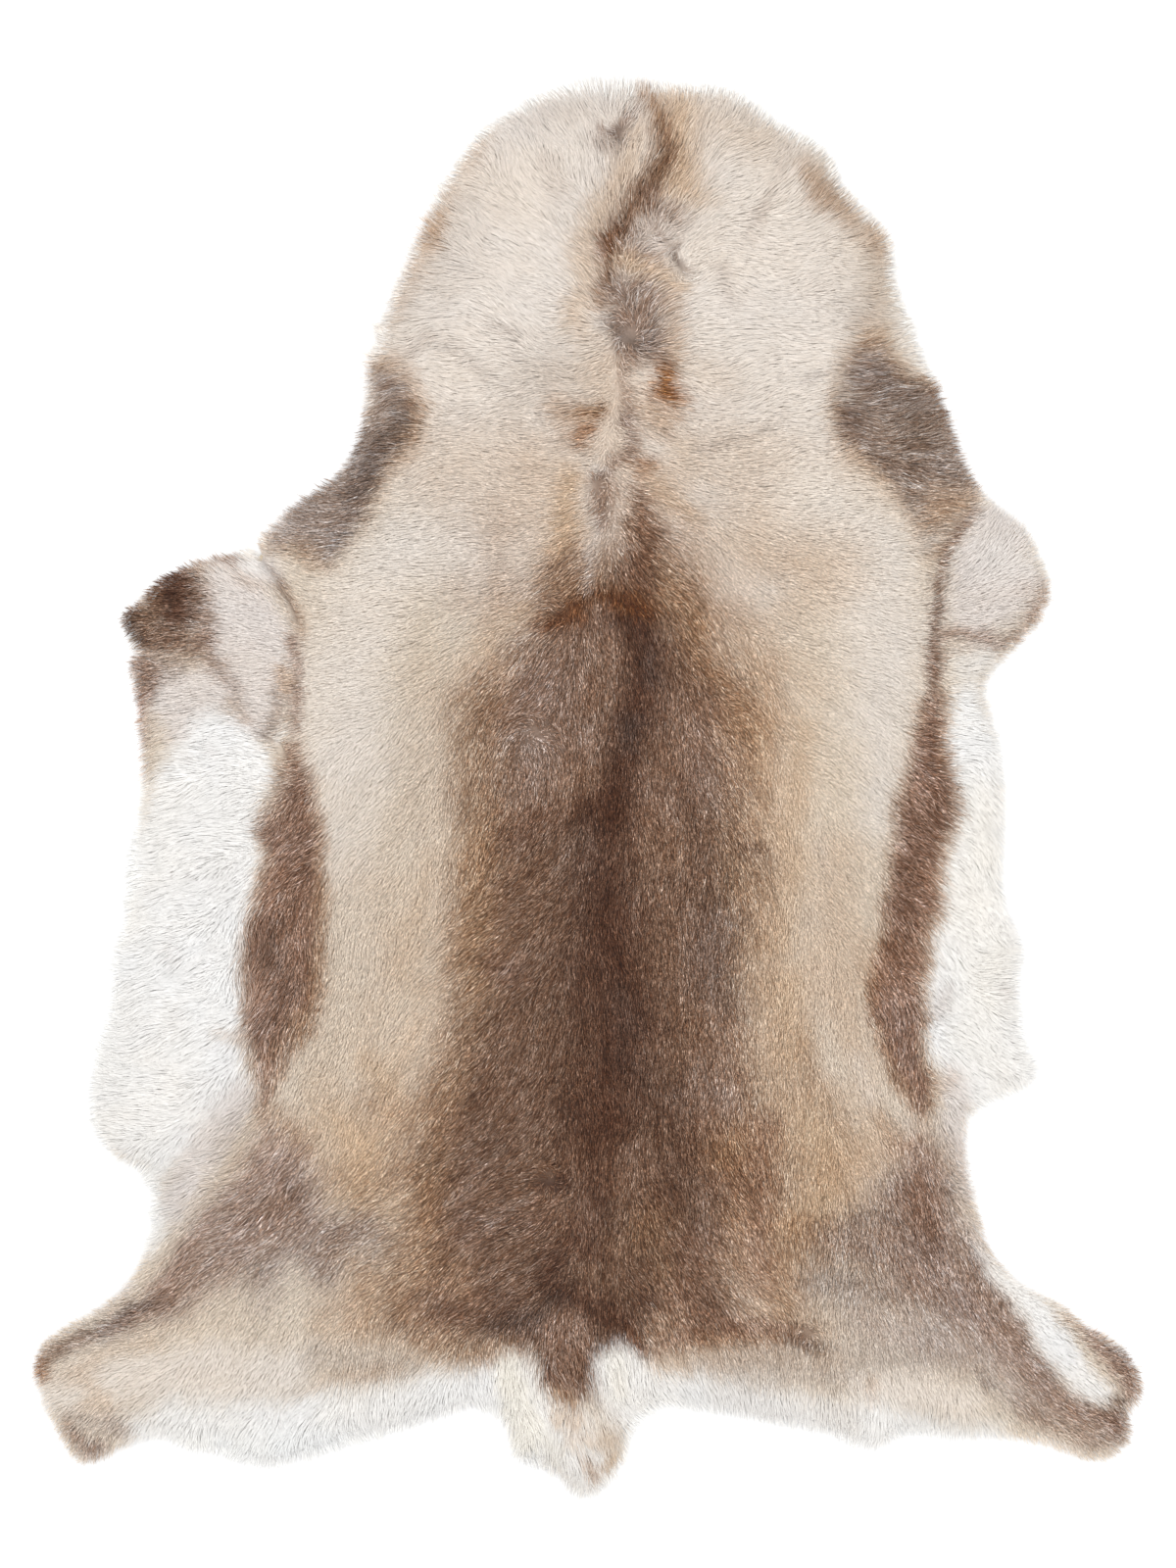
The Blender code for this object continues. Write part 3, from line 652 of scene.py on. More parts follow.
        ("tan", 0.5, 20, (166, -235, 9), (174, -280, 12), (166, -325, 12)),
        ("tan", 0.35, 18, (198, -222, 10), (204, -272, 12)),
        ("tan", 0.4, 22, (160, 118, 10), (166, 85, 8), (166, 30, 8)),
        ("bark", 0.85, 22, (60, -300, 26), (80, -335, 28), (84, -385, 22)),
        ("mocha", 0.4, 18, (128, -275, 12), (134, -300, 12)),
        ("warm brown", 0.5, 22, (135, -330, 24), (155, -355, 18), (140, -385, 14)),
        ("warm brown", 0.35, 18, (92, 140, 12), (105, 112, 14), (135, 92, 12), (150, 60, 10)),
        ("side band dark", 0.5, 12, (74, 116, 8), (92, 107, 9), (108, 93, 8)),
        ("peat", 0.35, 3, (136, 106, 2), (155, 92, 2)),
        ("bark", 0.75, 8, (142, -50, 9), (155, -56, 6)),
        ("bark", 0.9, 22, (30, -395, 36), (30, -440, 46), (0, -480, 58)),
        ("side band dark", 0.75, 14, (0, -370, 14), (-4, -400, 14), (2, -425, 10)),
        ("warm brown", 0.35, 16, (60, -400, 20), (70, -440, 16)),
        ("cocoa", 0.8, 22, (92, -425, 20), (106, -460, 24), (116, -482, 18)),
        ("umber", 0.55, 26, (76, -290, 18), (78, -335, 18), (66, -395, 18), (84, -428, 14)),
        ("side band", 0.75, 22, (160, -310, 12), (158, -340, 14), (156, -395, 12), (158, -450, 14)),
        ("umber", 0.5, 18, (-84, -398, 9), (-50, -392, 14), (-18, -418, 14), (6, -424, 10)),
        ("umber", 0.4, 14, (112, -472, 10), (124, -484, 10), (92, -498, 8)),
        ("umber", 0.5, 14, (-84, -448, 12), (-52, -502, 12), (-38, -512, 10)),
        ("mocha", 0.25, 14, (-60, -387, 8), (-100, -392, 12), (-140, -384, 8)),
        ("smoke", 0.3, 6, (-56, -376, 3), (-78, -386, 4), (-100, -392, 4)),
        ("bark", 0.75, 18, (-76, -410, 14), (-86, -450, 16), (-40, -420, 14)),
        ("umber", 0.45, 16, (-20, -416, 12), (4, -424, 12)),
        ("warm brown", 0.4, 20, (-150, -350, 20), (-150, -378, 14), (-150, -425, 14), (-120, -440, 12)),
        ("tan", 0.25, 12, (-180, -430, 9), (-118, -460, 9)),
        ("side band dark", 0.7, 14, (-136, -480, 10), (-105, -487, 14), (-60, -494, 16)),
        ("bark", 0.5, 24, (82, 182, 14), (84, 120, 16), (82, 60, 12)),
        ("bark", 0.6, 14, (2, 150, 12), (-4, 136, 9)),
        ("tan", 0.4, 20, (-78, 182, 12), (-92, 160, 10)),
        ("side band dark", 0.5, 18, (2, 155, 12), (38, 182, 12)),
        ("umber", 0.95, 20, (40, 160, 20), (50, 130, 21), (50, 105, 21), (44, 70, 20), (38, 50, 18),
         (28, 20, 18), (16, -15, 24)),
        ("umber", 0.85, 22, (14, -30, 24), (16, -60, 26)),
        ("umber", 0.65, 30, (10, -95, 30), (12, -150, 42), (14, -220, 46), (8, -300, 46)),
        ("umber", 0.85, 22, (18, -95, 22), (22, -140, 26), (28, -190, 26), (28, -240, 26), (14, -290, 24)),
        ("umber", 0.6, 22, (8, -310, 22), (4, -350, 18), (10, -390, 10)),
        ("peat", 0.5, 10, (58, 125, 8), (56, 105, 7)),
        ("peat", 0.5, 9, (40, 65, 9), (36, 45, 7)),
        ("peat", 0.25, 12, (30, -190, 14), (34, -250, 10)),
        ("umber", 0.9, 6, (-22, -350, 4), (-26, -362, 8), (-42, -362, 6)),
        ("umber", 0.85, 12, (-36, -428, 10), (-38, -455, 12), (0, -470, 16), (30, -488, 14)),
        ("umber", 0.55, 12, (50, -430, 8), (52, -470, 10)),
        ("peat", 0.6, 12, (-88, -492, 10), (-50, -488, 10), (-30, -470, 8)),
        ("rust", 0.4, 11, (-42, 156, 3), (-26, 163, 6), (-10, 173, 9)),
        ("dark rust", 0.9, 8, (-46, 152, 3), (-28, 157, 7), (-13, 164, 10), (-5, 176, 8)),
        ("rust", 0.45, 12, (10, 185, 6), (30, 180, 9), (55, 173, 9)),
        ("dark rust", 1.0, 9, (8, 183, 4), (24, 178, 7), (44, 172, 8), (58, 166, 6)),
        ("lilac grey", 0.5, 6, (5, 245, 5), (1, 222, 5), (-3, 202, 4), (-1, 188, 2)),
    ),
    "left foreleg": (
        ("lilac white", 1.0, 12, (-300, 200, 18), (-325, 185, 30), (-310, 140, 38), (-316, 100, 40),
         (-345, 70, 48), (-390, 95, 20), (-420, 110, 12)),
        ("belly white", 0.6, 10, (-318, 222, 8), (-302, 205, 8)),
        ("mocha", 0.9, 8, (-384, 208, 6), (-360, 215, 10), (-338, 214, 9), (-320, 210, 4)),
        ("tan", 0.35, 8, (-318, 195, 5), (-300, 185, 4)),
        ("mocha", 0.85, 10, (-362, 195, 10), (-357, 170, 10), (-352, 145, 12)),
        ("bark", 0.9, 10, (-412, 200, 14), (-385, 196, 22), (-378, 170, 18), (-384, 148, 14),
         (-405, 152, 12)),
        ("umber", 0.95, 11, (-410, 197, 13), (-387, 188, 22), (-376, 168, 15)),
        ("peat", 0.3, 8, (-394, 188, 8), (-386, 174, 8)),
        ("mocha", 0.75, 12, (-398, 132, 10), (-354, 132, 10), (-340, 116, 7), (-326, 96, 4)),
        ("side band dark", 0.45, 10, (-398, 140, 7), (-370, 142, 7), (-346, 136, 5)),
        ("smoke", 0.8, 9, (-398, 112, 12), (-375, 112, 8)),
        ("silver", 0.5, 9, (-322, 86, 7), (-316, 70, 6)),
        ("tan", 0.4, 8, (-328, 80, 5), (-314, 64, 4)),
        ("lilac white", 0.7, 14, (-350, 92, 10), (-372, 86, 10)),
        ("bark", 0.95, 6, (-440, 160, 16), (-418, 156, 18), (-408, 144, 12)),
        ("peat", 0.9, 6, (-428, 168, 6), (-424, 150, 8), (-410, 140, 6)),
        ("mocha", 0.95, 7, (-432, 115, 10), (-412, 116, 12), (-408, 98, 13), (-414, 84, 12)),
        ("rosy brown", 0.9, 9, (-418, 75, 15), (-415, 50, 12), (-413, 30, 6), (-412, 10, 3)),
        ("mocha", 0.4, 10, (-402, 124, 8), (-408, 100, 8)),
        ("bark", 0.9, 9, (-404, 184, 9), (-398, 172, 8)),
        ("mocha", 0.6, 8, (-318, 213, 5), (-328, 213, 6), (-345, 212, 6)),
    ),
    "left belly": (
        ("belly white", 1.0, 10, (-350, 48, 22), (-320, 35, 20), (-345, 10, 50), (-355, -40, 54),
         (-370, -100, 62), (-380, -180, 66), (-385, -250, 70), (-400, -300, 50)),
        ("belly white", 1.0, 8, (-425, -30, 14), (-435, -90, 24), (-450, -180, 28), (-472, -260, 28),
         (-460, -320, 24)),
        ("belly white", 0.9, 7, (-300, 32, 10), (-294, 12, 8)),
        ("smoke", 0.75, 6, (-288, 92, 4), (-284, 78, 4), (-292, 66, 6), (-298, 54, 6)),
        ("silver", 0.8, 6, (-284, 66, 5), (-288, 48, 5), (-278, 90, 4)),
        ("snow", 0.6, 4, (-280, 60, 3), (-284, 50, 4)),
        ("oat", 0.6, 10, (-330, 72, 8)),
        ("tan", 0.4, 7, (-340, -222, 3), (-322, -228, 6)),
        ("lilac grey", 0.5, 3, (-385, -145, 2), (-378, -158, 2)),
        ("lilac grey", 0.5, 3, (-376, 34, 1), (-362, 29, 1)),
        ("lilac grey", 0.5, 3, (-352, 36, 1), (-338, 30, 1)),
        ("lilac white", 0.95, 12, (-318, -272, 10), (-336, -300, 14), (-362, -345, 16), (-378, -385, 12)),
        ("lilac grey", 0.6, 7, (-315, -285, 6), (-330, -315, 8), (-345, -335, 8)),
        ("belly white", 0.9, 9, (-392, -335, 12), (-402, -365, 12), (-398, -400, 14), (-405, -420, 8)),
    ),
    "left side band": (
        ("tan", 0.6, 9, "left side band", 2),
        ("side band", 0.93, 10, "left side band", -3),
        ("side band dark", 0.6, 13, (-266, -10, 8), (-268, -60, 10), (-286, -105, 12), (-292, -140, 14),
         (-284, -178, 13), (-284, -200, 8)),
        ("peat", 0.3, 8, (-292, -125, 8), (-284, -160, 8)),
        ("tan", 0.35, 12, (-264, -205, 6), (-280, -235, 8), (-290, -262, 5)),
        ("mocha", 0.5, 8, (-276, 18, 8), (-290, -20, 8), (-300, -40, 5)),
        ("warm brown", 0.5, 7, (-246, -20, 4), (-242, -70, 5), (-245, -130, 6), (-250, -180, 6),
         (-262, -225, 6)),
        ("warm brown", 0.6, 8, (-285, 190, 2), (-275, 180, 4), (-266, 166, 4), (-263, 148, 3)),
        # painted shadow of the fold behind the left foreleg: a thin dark line where the leg's hair ends over
        # the coat
        ("side band dark", 0.7, 4, (-298, 217, 1), (-290, 204, 1.5), (-281, 188, 2), (-272, 170, 2),
         (-266, 160, 1)),
        ("rosy brown", 0.9, 7, (-270, 140, 5), (-267, 120, 5), (-268, 100, 5), (-267, 80, 4),
         (-268, 60, 4)),
        ("side band", 0.4, 7, (-267, 70, 2), (-267, 55, 3), (-268, 40, 4)),
        ("tan", 0.75, 6, (-282, 112, 6), (-278, 95, 5)),
    ),
    "right foreleg": (
        ("lilac white", 1.0, 12, (375, 232, 34), (365, 200, 34), (355, 170, 28), (385, 190, 30)),
        ("belly white", 0.7, 12, (345, 112, 14), (360, 122, 12)),
        ("belly white", 0.3, 20, (375, 215, 20), (398, 205, 14)),
        ("belly white", 0.8, 8, (364, 275, 7), (384, 264, 7)),
        ("lilac grey", 0.5, 5, (372, 230, 3), (385, 240, 3)),
        ("rosy brown", 0.75, 6, (417, 188, 3), (418, 176, 4), (407, 160, 4), (392, 147, 4), (375, 134, 5)),
        ("side band", 0.35, 5, (418, 178, 4), (407, 161, 4)),
        ("rosy brown", 0.75, 6, (328, 142, 6), (345, 143, 5), (365, 140, 7)),
        ("mocha", 0.6, 7, (322, 126, 5), (320, 114, 4)),
        ("silver", 0.5, 8, (400, 184, 7)),
        ("silver", 0.5, 7, (335, 128, 5), (350, 130, 4)),
    ),
    "right belly": (
        ("belly white", 1.0, 9, (345, 85, 14), (352, 40, 24), (360, -20, 26), (355, -80, 34),
         (355, -140, 42), (355, -200, 48), (365, -250, 44)),
        ("belly white", 1.0, 9, (385, 80, 12), (398, 0, 16), (400, -100, 20), (412, -190, 24),
         (425, -260, 28)),
        ("ivory", 0.4, 20, (352, -10, 20), (352, -120, 26), (360, -230, 26)),
        ("lilac grey", 0.7, 7, (328, -180, 4), (320, -205, 7), (312, -215, 4)),
        ("lilac grey", 0.5, 4, (388, -188, 4), (382, -180, 2)),
        ("lilac white", 0.95, 10, (335, -258, 10), (338, -285, 14), (336, -305, 12), (345, -340, 8),
         (350, -370, 7)),
        ("tan", 0.4, 7, (322, -275, 6), (330, -262, 6)),
    ),
    "right side band": (
        ("tan", 0.7, 9, "right side band", 4),
        ("side band", 0.95, 9, "right side band", -2),
        ("rosy brown", 0.4, 12, (278, -190, 10), (285, -240, 10), (300, -280, 8)),
        ("warm brown", 0.35, 8, (264, -168, 4), (262, -200, 5), (274, -240, 6), (290, -274, 6)),
        ("tan", 0.4, 12, (252, -135, 5), (247, -165, 6)),
        ("side band dark", 0.7, 10, (318, 60, 5), (314, 20, 12), (318, -15, 12), (302, -50, 12),
         (294, -80, 10), (290, -120, 12), (285, -150, 10)),
        ("warm brown", 0.5, 7, (328, 45, 3), (334, 10, 3), (338, -18, 3)),
        ("mocha", 0.85, 6, (352, 256, 3), (338, 240, 4), (328, 220, 4), (322, 200, 4), (319, 175, 4),
         (317, 150, 5), (317, 125, 6), (317, 100, 6), (317, 80, 6)),
        ("side band dark", 0.7, 4, (345, 248, 2), (332, 230, 3), (326, 210, 3)),
        ("side band dark", 0.6, 5, (322, 195, 3), (319, 165, 4), (319, 130, 5), (319, 105, 5)),
    ),
    "left haunch and hind leg": (
        ("tan", 0.65, 16, (-285, -300, 14), (-262, -325, 16)),
        ("tan", 0.5, 18, (-205, -285, 12), (-165, -300, 14)),
        ("cream", 1.0, 18, (-280, -530, 25), (-340, -528, 25), (-400, -535, 26), (-460, -550, 26),
         (-490, -555, 16)),
        ("rosy brown", 0.75, 22, "left haunch", 2),
        ("mocha", 0.35, 18, "left haunch", -12),
        ("side band dark", 0.42, 18, (-284, -358, 10), (-268, -378, 10), (-294, -392, 12), (-322, -400, 6)),
        ("tan", 0.75, 20, (-222, -425, 12), (-206, -450, 18), (-208, -488, 16)),
        ("warm brown", 0.45, 18, (-182, -410, 8), (-176, -450, 14), (-172, -485, 12)),
        ("mocha", 0.75, 16, (-205, -398, 12), (-235, -412, 16), (-246, -438, 14)),
        ("mocha", 0.4, 14, (-196, -412, 10), (-206, -428, 10)),
        ("smoke", 0.8, 14, (-262, -420, 14), (-285, -424, 12), (-300, -445, 14)),
        ("fawn", 0.75, 18, (-280, -478, 16), (-325, -492, 16), (-290, -500, 14)),
        ("silver", 0.5, 12, (-280, -445, 10), (-300, -470, 8)),
        ("sand", 0.5, 14, (-245, -490, 8), (-230, -508, 10)),
        ("tan", 0.35, 18, (-236, -465, 12), (-244, -485, 8)),
        ("rosy brown", 0.45, 12, (-318, -362, 8), (-330, -372, 5)),
        ("oat", 0.9, 12, (-250, -515, 14), (-200, -528, 14), (-165, -528, 10)),
        ("tan", 0.4, 8, (-262, -556, 4), (-240, -543, 5), (-212, -536, 6), (-175, -530, 6)),
        ("cream", 0.9, 16, (-395, -545, 18), (-345, -545, 18), (-300, -548, 16)),
        ("sand", 0.6, 10, (-400, -507, 7), (-440, -515, 6), (-470, -535, 6)),
        ("golden tan", 0.4, 8, (-445, -560, 12), (-460, -565, 8)),
        ("sand", 0.5, 9, (-482, -540, 8), (-455, -545, 8)),
        ("rosy brown", 0.8, 8, (-346, -388, 5), (-363, -413, 6), (-378, -438, 8), (-392, -460, 9)),
        ("mocha", 0.85, 9, (-390, -468, 8), (-420, -486, 8), (-450, -499, 7), (-480, -511, 7),
         (-502, -521, 6)),
        ("slate brown", 0.7, 5, (-392, -464, 3), (-412, -475, 4), (-435, -486, 3), (-470, -500, 3)),
        ("peat", 0.4, 4, (-400, -467, 3), (-425, -480, 3)),
        ("rust", 0.9, 6, (-507, -528, 6), (-502, -536, 5)),
        ("lilac white", 0.8, 5, (-420, -452, 5), (-450, -468, 5), (-480, -484, 5)),
        ("belly white", 1.0, 14, "left rear fringe", 2),
        # painted light: whiter hair along the rim of the left rear fringe, where the rim would otherwise
        # shade grey
        ("snow", 0.9, 14, (-370, -598, 10), (-320, -602, 14), (-270, -606, 14), (-225, -598, 10)),
        ("smoke", 0.45, 9, (-475, -574, 6), (-450, -582, 7), (-430, -589, 5)),
        ("rosy brown", 0.7, 8, (-478, -586, 6), (-465, -608, 10), (-450, -604, 8)),
        ("mocha", 0.5, 6, (-476, -590, 4), (-462, -604, 5)),
        ("silver", 0.6, 8, (-440, -575, 8), (-425, -592, 8)),
        ("warm brown", 0.4, 7, (-160, -503, 4), (-130, -514, 6), (-98, -523, 6), (-75, -520, 4)),
    ),
    "right haunch and hind leg": (
        ("oat", 0.9, 12, (78, -525, 7), (140, -526, 14), (200, -530, 18), (260, -526, 20), (310, -520, 16)),
        ("tan", 0.7, 12, (268, -306, 9), (284, -328, 11), (300, -316, 6)),
        ("tan", 0.5, 14, (196, -238, 9), (204, -274, 12)),
        ("silver", 0.9, 20, (250, -486, 18), (290, -502, 18), (330, -515, 12)),
        ("smoke", 0.85, 18, (205, -452, 12), (235, -458, 16), (275, -460, 16)),
        ("mocha", 0.8, 28, (216, -412, 12), (248, -420, 18), (285, -430, 14), (300, -450, 12)),
        ("rosy brown", 0.85, 34, "right haunch", 6),
        ("mocha", 0.5, 18, "right haunch", -12),
        ("side band dark", 0.7, 18, (284, -366, 12), (304, -386, 14), (314, -412, 10)),
        ("mocha", 0.5, 24, (250, -394, 12), (278, -384, 12)),
        ("mocha", 0.45, 18, (238, -420, 13), (284, -424, 13)),
        ("side band", 0.4, 18, (296, -330, 10), (312, -366, 12), (318, -396, 10)),
        ("mocha", 0.4, 8, (354, -438, 5), (366, -456, 6)),
        ("slate brown", 0.6, 6, (245, -392, 2), (265, -386, 4), (290, -396, 5)),
        ("slate brown", 0.5, 5, (225, -448, 2), (255, -451, 3)),
        ("slate brown", 0.7, 5, (328, -348, 2), (330, -372, 3)),
        ("silver", 0.6, 10, (300, -485, 10), (320, -505, 10), (345, -520, 8)),
        ("cream", 0.9, 14, (250, -546, 10), (300, -550, 18), (345, -560, 14)),
        ("oat", 0.6, 12, (236, -512, 9), (285, -517, 10)),
        ("fawn", 0.7, 9, (365, -578, 8), (400, -590, 7)),
        ("tan", 0.5, 5, (262, -540, 4), (262, -575, 4), (262, -598, 4)),
        ("belly white", 1.0, 14, "right rear fringe", 1),
        ("slate brown", 0.6, 5, (355, -533, 3), (364, -545, 5)),
        ("rosy brown", 0.5, 8, (396, -562, 6), (432, -588, 7), (465, -602, 7)),
        ("fawn", 0.5, 5, (410, -580, 3), (440, -594, 3)),
        ("silver", 0.5, 12, (350, -500, 8), (372, -530, 9), (392, -556, 7)),
        ("side band", 0.5, 9, (345, -412, 5), (366, -452, 6), (386, -486, 5), (402, -516, 5),
         (424, -552, 5), (454, -574, 6), (480, -586, 8)),
        ("umber", 0.25, 5, (352, -422, 2), (374, -456, 2), (404, -508, 3), (430, -550, 3),
         (458, -568, 4), (488, -578, 5)),
        ("lilac white", 0.6, 6, (346, -392, 2), (372, -420, 3), (400, -440, 3), (440, -470, 3)),
        ("belly white", 1.0, 8, "tongue of white", -3),
        ("smoke", 0.6, 4, (378, -432, 1), (405, -449, 2), (430, -462, 2), (446, -474, 2)),
        ("smoke", 0.5, 7, (396, -446, 4), (412, -455, 4)),
        ("rim tan", 0.95, 7, (442, -484, 6), (468, -505, 9), (488, -528, 10), (500, -550, 8)),
        ("rosy brown", 0.85, 7, (458, -494, 5), (478, -514, 8), (495, -536, 9), (500, -556, 7)),
        ("mocha", 0.5, 6, (484, -520, 5), (500, -540, 6)),
        ("slate brown", 0.85, 5, (482, -512, 4), (496, -522, 5)),
        ("slate brown", 0.8, 5, (478, -556, 3), (490, -564, 5), (486, -576, 5)),
        ("side band dark", 0.7, 8, (478, -577, 7), (490, -586, 8), (480, -598, 6)),
        ("cream", 0.75, 9, (412, -598, 6), (432, -603, 7), (446, -607, 5)),
        ("oat", 0.28, 16, (110, -554, 6), (160, -565, 7), (205, -573, 8), (240, -578, 7)),
        ("oat", 0.4, 12, (120, -540, 6), (165, -544, 8)),
        ("side band", 0.7, 12, (58, -508, 4), (85, -502, 8), (112, -492, 12), (150, -493, 9),
         (200, -500, 6)),
        ("warm brown", 0.35, 9, (90, -506, 5), (125, -503, 6), (165, -506, 5)),
        ("bark", 0.75, 5, (100, -495, 5), (120, -490, 6)),
        ("bark", 0.6, 6, (34, -500, 5), (44, -510, 5)),
        ("dark rust", 0.85, 4, (34, -494, 2), (42, -505, 4), (48, -514, 3)),
        ("bark", 0.7, 6, (178, -502, 3), (196, -506, 5), (210, -512, 5), (222, -510, 3)),
        ("tan", 0.3, 10, (84, -522, 5), (140, -522, 6), (190, -524, 6), (228, -522, 5)),
        ("golden tan", 0.4, 8, (60, -524, 5), (85, -526, 6)),
    ),
    "tail": (
        ("ivory", 0.9, 7, (-76, -530, 12), (-66, -560, 16), (-58, -595, 16)),
        ("ivory", 0.7, 7, (22, -520, 8), (24, -550, 8)),
        ("belly white", 0.8, 10, (-20, -580, 20), (-12, -605, 26), (-2, -628, 20), (2, -645, 14)),
        ("cocoa", 0.95, 5, (-20, -500, 26), (-21, -525, 22), (-22, -541, 19)),
        ("side band dark", 0.8, 5, (-38, -530, 6), (-36, -545, 5)),
        ("bark", 0.6, 5, (-12, -525, 6), (-8, -545, 5)),
        ("mocha", 0.5, 4, (2, -540, 2), (6, -558, 2)),
        ("tan", 0.7, 5, (-30, -556, 4), (-16, -559, 6)),
        ("golden tan", 0.6, 6, (-32, -570, 5), (-15, -575, 8)),
        ("ivory", 0.7, 7, (-38, -590, 7), (-30, -610, 7)),
        ("sand", 0.7, 8, (-18, -595, 6), (15, -592, 8)),
        ("golden tan", 0.7, 6, (18, -612, 7), (12, -622, 6)),
        ("tan", 0.7, 4, (-8, -612, 3), (0, -625, 5), (2, -638, 3)),
    ),
}

# Folds of the skin, which no hair crosses. Columns: name, half width and depth of the fold, then its points
FOLDS = (
    ("behind the left foreleg", 3.5, 7, (-306, 228), (-297, 207), (-286, 190), (-274, 172), (-266, 152)),
    ("under the left foreleg", 4, 4, (-300, 52), (-284, 44), (-276, 30)),
)

# Which piece a hair belongs to: that of the nearest of these middles. Columns: piece, x, y
HAIR_PIECES = (
    ("guard_hair_neck", 30, 480),
    ("guard_hair_shoulders", 10, 210),
    ("guard_hair_left_side", -300, -70),
    ("guard_hair_back", 10, -120),
    ("guard_hair_right_side", 290, -70),
    ("guard_hair_left_haunch", -250, -480),
    ("guard_hair_right_haunch", 200, -480),
)


def linear(colour):
    """One of the named sRGB colours, as linear red, green and blue."""
    text = COLOURS[colour]
    values = [int(text[i:i + 2], 16) / 255 for i in (1, 3, 5)]
    return [v / 12.92 if v <= 0.04045 else ((v + 0.055) / 1.055) ** 2.4 for v in values]


def smooth_step(value):
    value = np.clip(value, 0.0, 1.0)
    return value * value * (3 - 2 * value)


def rise(value, start, end):
    """From 0 at the start to 1 at the end, gently at both."""
    return smooth_step((value - start) / (end - start))


def between(pair, share):
    return pair[0] + (pair[1] - pair[0]) * share


def unit(arrows, axis):
    return arrows / (np.linalg.norm(arrows, axis=axis, keepdims=True) + TINY)


def soft_noise(x, y, size, seed):
    """Soft random values from -1 to 1, in bumps about size millimetres across."""
    knots = np.random.default_rng(seed).uniform(-1, 1, (NOISE_KNOTS, NOISE_KNOTS))
    u = x / size
    v = y / size
    i = np.floor(u).astype(int)
    j = np.floor(v).astype(int)
    fu = smooth_step(u - i)
    fv = smooth_step(v - j)
    i0, i1, j0, j1 = i % NOISE_KNOTS, (i + 1) % NOISE_KNOTS, j % NOISE_KNOTS, (j + 1) % NOISE_KNOTS
    near = knots[i0, j0] * (1 - fu) + knots[i1, j0] * fu
    far = knots[i0, j1] * (1 - fu) + knots[i1, j1] * fu
    return near * (1 - fv) + far * fv


def layered_noise(x, y, layers):
    """Several soft noises added up, from rows of strength, size and seed."""
    return sum(strength * soft_noise(x, y, size, seed) for strength, size, seed in layers)


class Chart:
    """A square grid over the hide's box, whose values are blended between its knots."""

    def __init__(self, step):
        low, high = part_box("hide")
        self.step = step
        self.left = low[0] / MM - CHART_MARGIN
        self.front = low[1] / MM - CHART_MARGIN
        self.columns = int((high[0] / MM + CHART_MARGIN - self.left) / step) + 2
        self.rows = int((high[1] / MM + CHART_MARGIN - self.front) / step) + 2
        self.x, self.y = np.meshgrid(
            self.left + step * np.arange(self.columns),
            self.front + step * np.arange(self.rows),
        )

    def read(self, values, x, y):
        last = 1.001  # places past the last knot are read just short of it
        column = np.clip((x - self.left) / self.step, 0, self.columns - last)
        row = np.clip((y - self.front) / self.step, 0, self.rows - last)
        j = column.astype(int)
        i = row.astype(int)
        fx = column - j
        fy = row - i
        if values.ndim == 3:
            fx = fx[..., None]
            fy = fy[..., None]
        near = values[i, j] * (1 - fx) + values[i, j + 1] * fx
        far = values[i + 1, j] * (1 - fx) + values[i + 1, j + 1] * fx
        return near * (1 - fy) + far * fy


def outline_ring():
    """The hide's outline, read from the edge of the CAD solid's flat underside, in millimetres."""
    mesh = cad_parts["hide"].data
    keys = [tuple(round(c / MM, 3) for c in v.co) for v in mesh.vertices]
    edges = {}
    for face in mesh.polygons:
        if face.normal.z > -0.9:  # only what faces straight down
            continue
        corners = [keys[i] for i in face.vertices]
        edges.update(dict.fromkeys(zip(corners, corners[1:] + corners[:1])))
    after = {a: b for a, b in edges if (b, a) not in edges}
    start = max(after, key=lambda p: p[1])
    ring = [start]
    while after[ring[-1]] != start:
        ring.append(after[ring[-1]])
    return np.array([(x, y) for x, y, z in ring])


def ring_area(ring):
    x, y = ring.T
    return 0.5 * abs(np.dot(x, np.roll(y, -1)) - np.dot(y, np.roll(x, -1)))


def share_along(x, y, start, step):
    """How far along a line the point nearest to each place is, from 0 at its start to 1 a step on."""
    dx, dy = step
    return np.clip(((x - start[0]) * dx + (y - start[1]) * dy) / max(dx * dx + dy * dy, TINY), 0, 1)


def outline_distance(x, y, ring):
    """How far each place lies outside the outline, negative inside it."""
    nearest = np.full(x.shape, FAR)
    inside = np.zeros(x.shape, bool)
    for (x1, y1), (x2, y2) in zip(ring, np.roll(ring, -1, axis=0)):
        dx = x2 - x1
        dy = y2 - y1
        t = share_along(x, y, (x1, y1), (dx, dy))
        nearest = np.minimum(nearest, (x - x1 - t * dx) ** 2 + (y - y1 - t * dy) ** 2)
        if y1 != y2:
            inside ^= ((y1 > y) != (y2 > y)) & (x < dx * (y - y1) / dy + x1)
    return np.where(inside, -1, 1) * np.sqrt(nearest)


def stroke_distance(x, y, points):
    """How far each place lies outside a stroke through points of x, y and half width."""
    if len(points) == 1:
        points = points * 2
    nearest = np.full(x.shape, FAR)
    for (x1, y1, w1), (x2, y2, w2) in zip(points, points[1:]):
        dx = x2 - x1
        dy = y2 - y1
        t = share_along(x, y, (x1, y1), (dx, dy))
        nearest = np.minimum(nearest, np.hypot(x - x1 - t * dx, y - y1 - t * dy) - w1 - t * (w2 - w1))
    return nearest


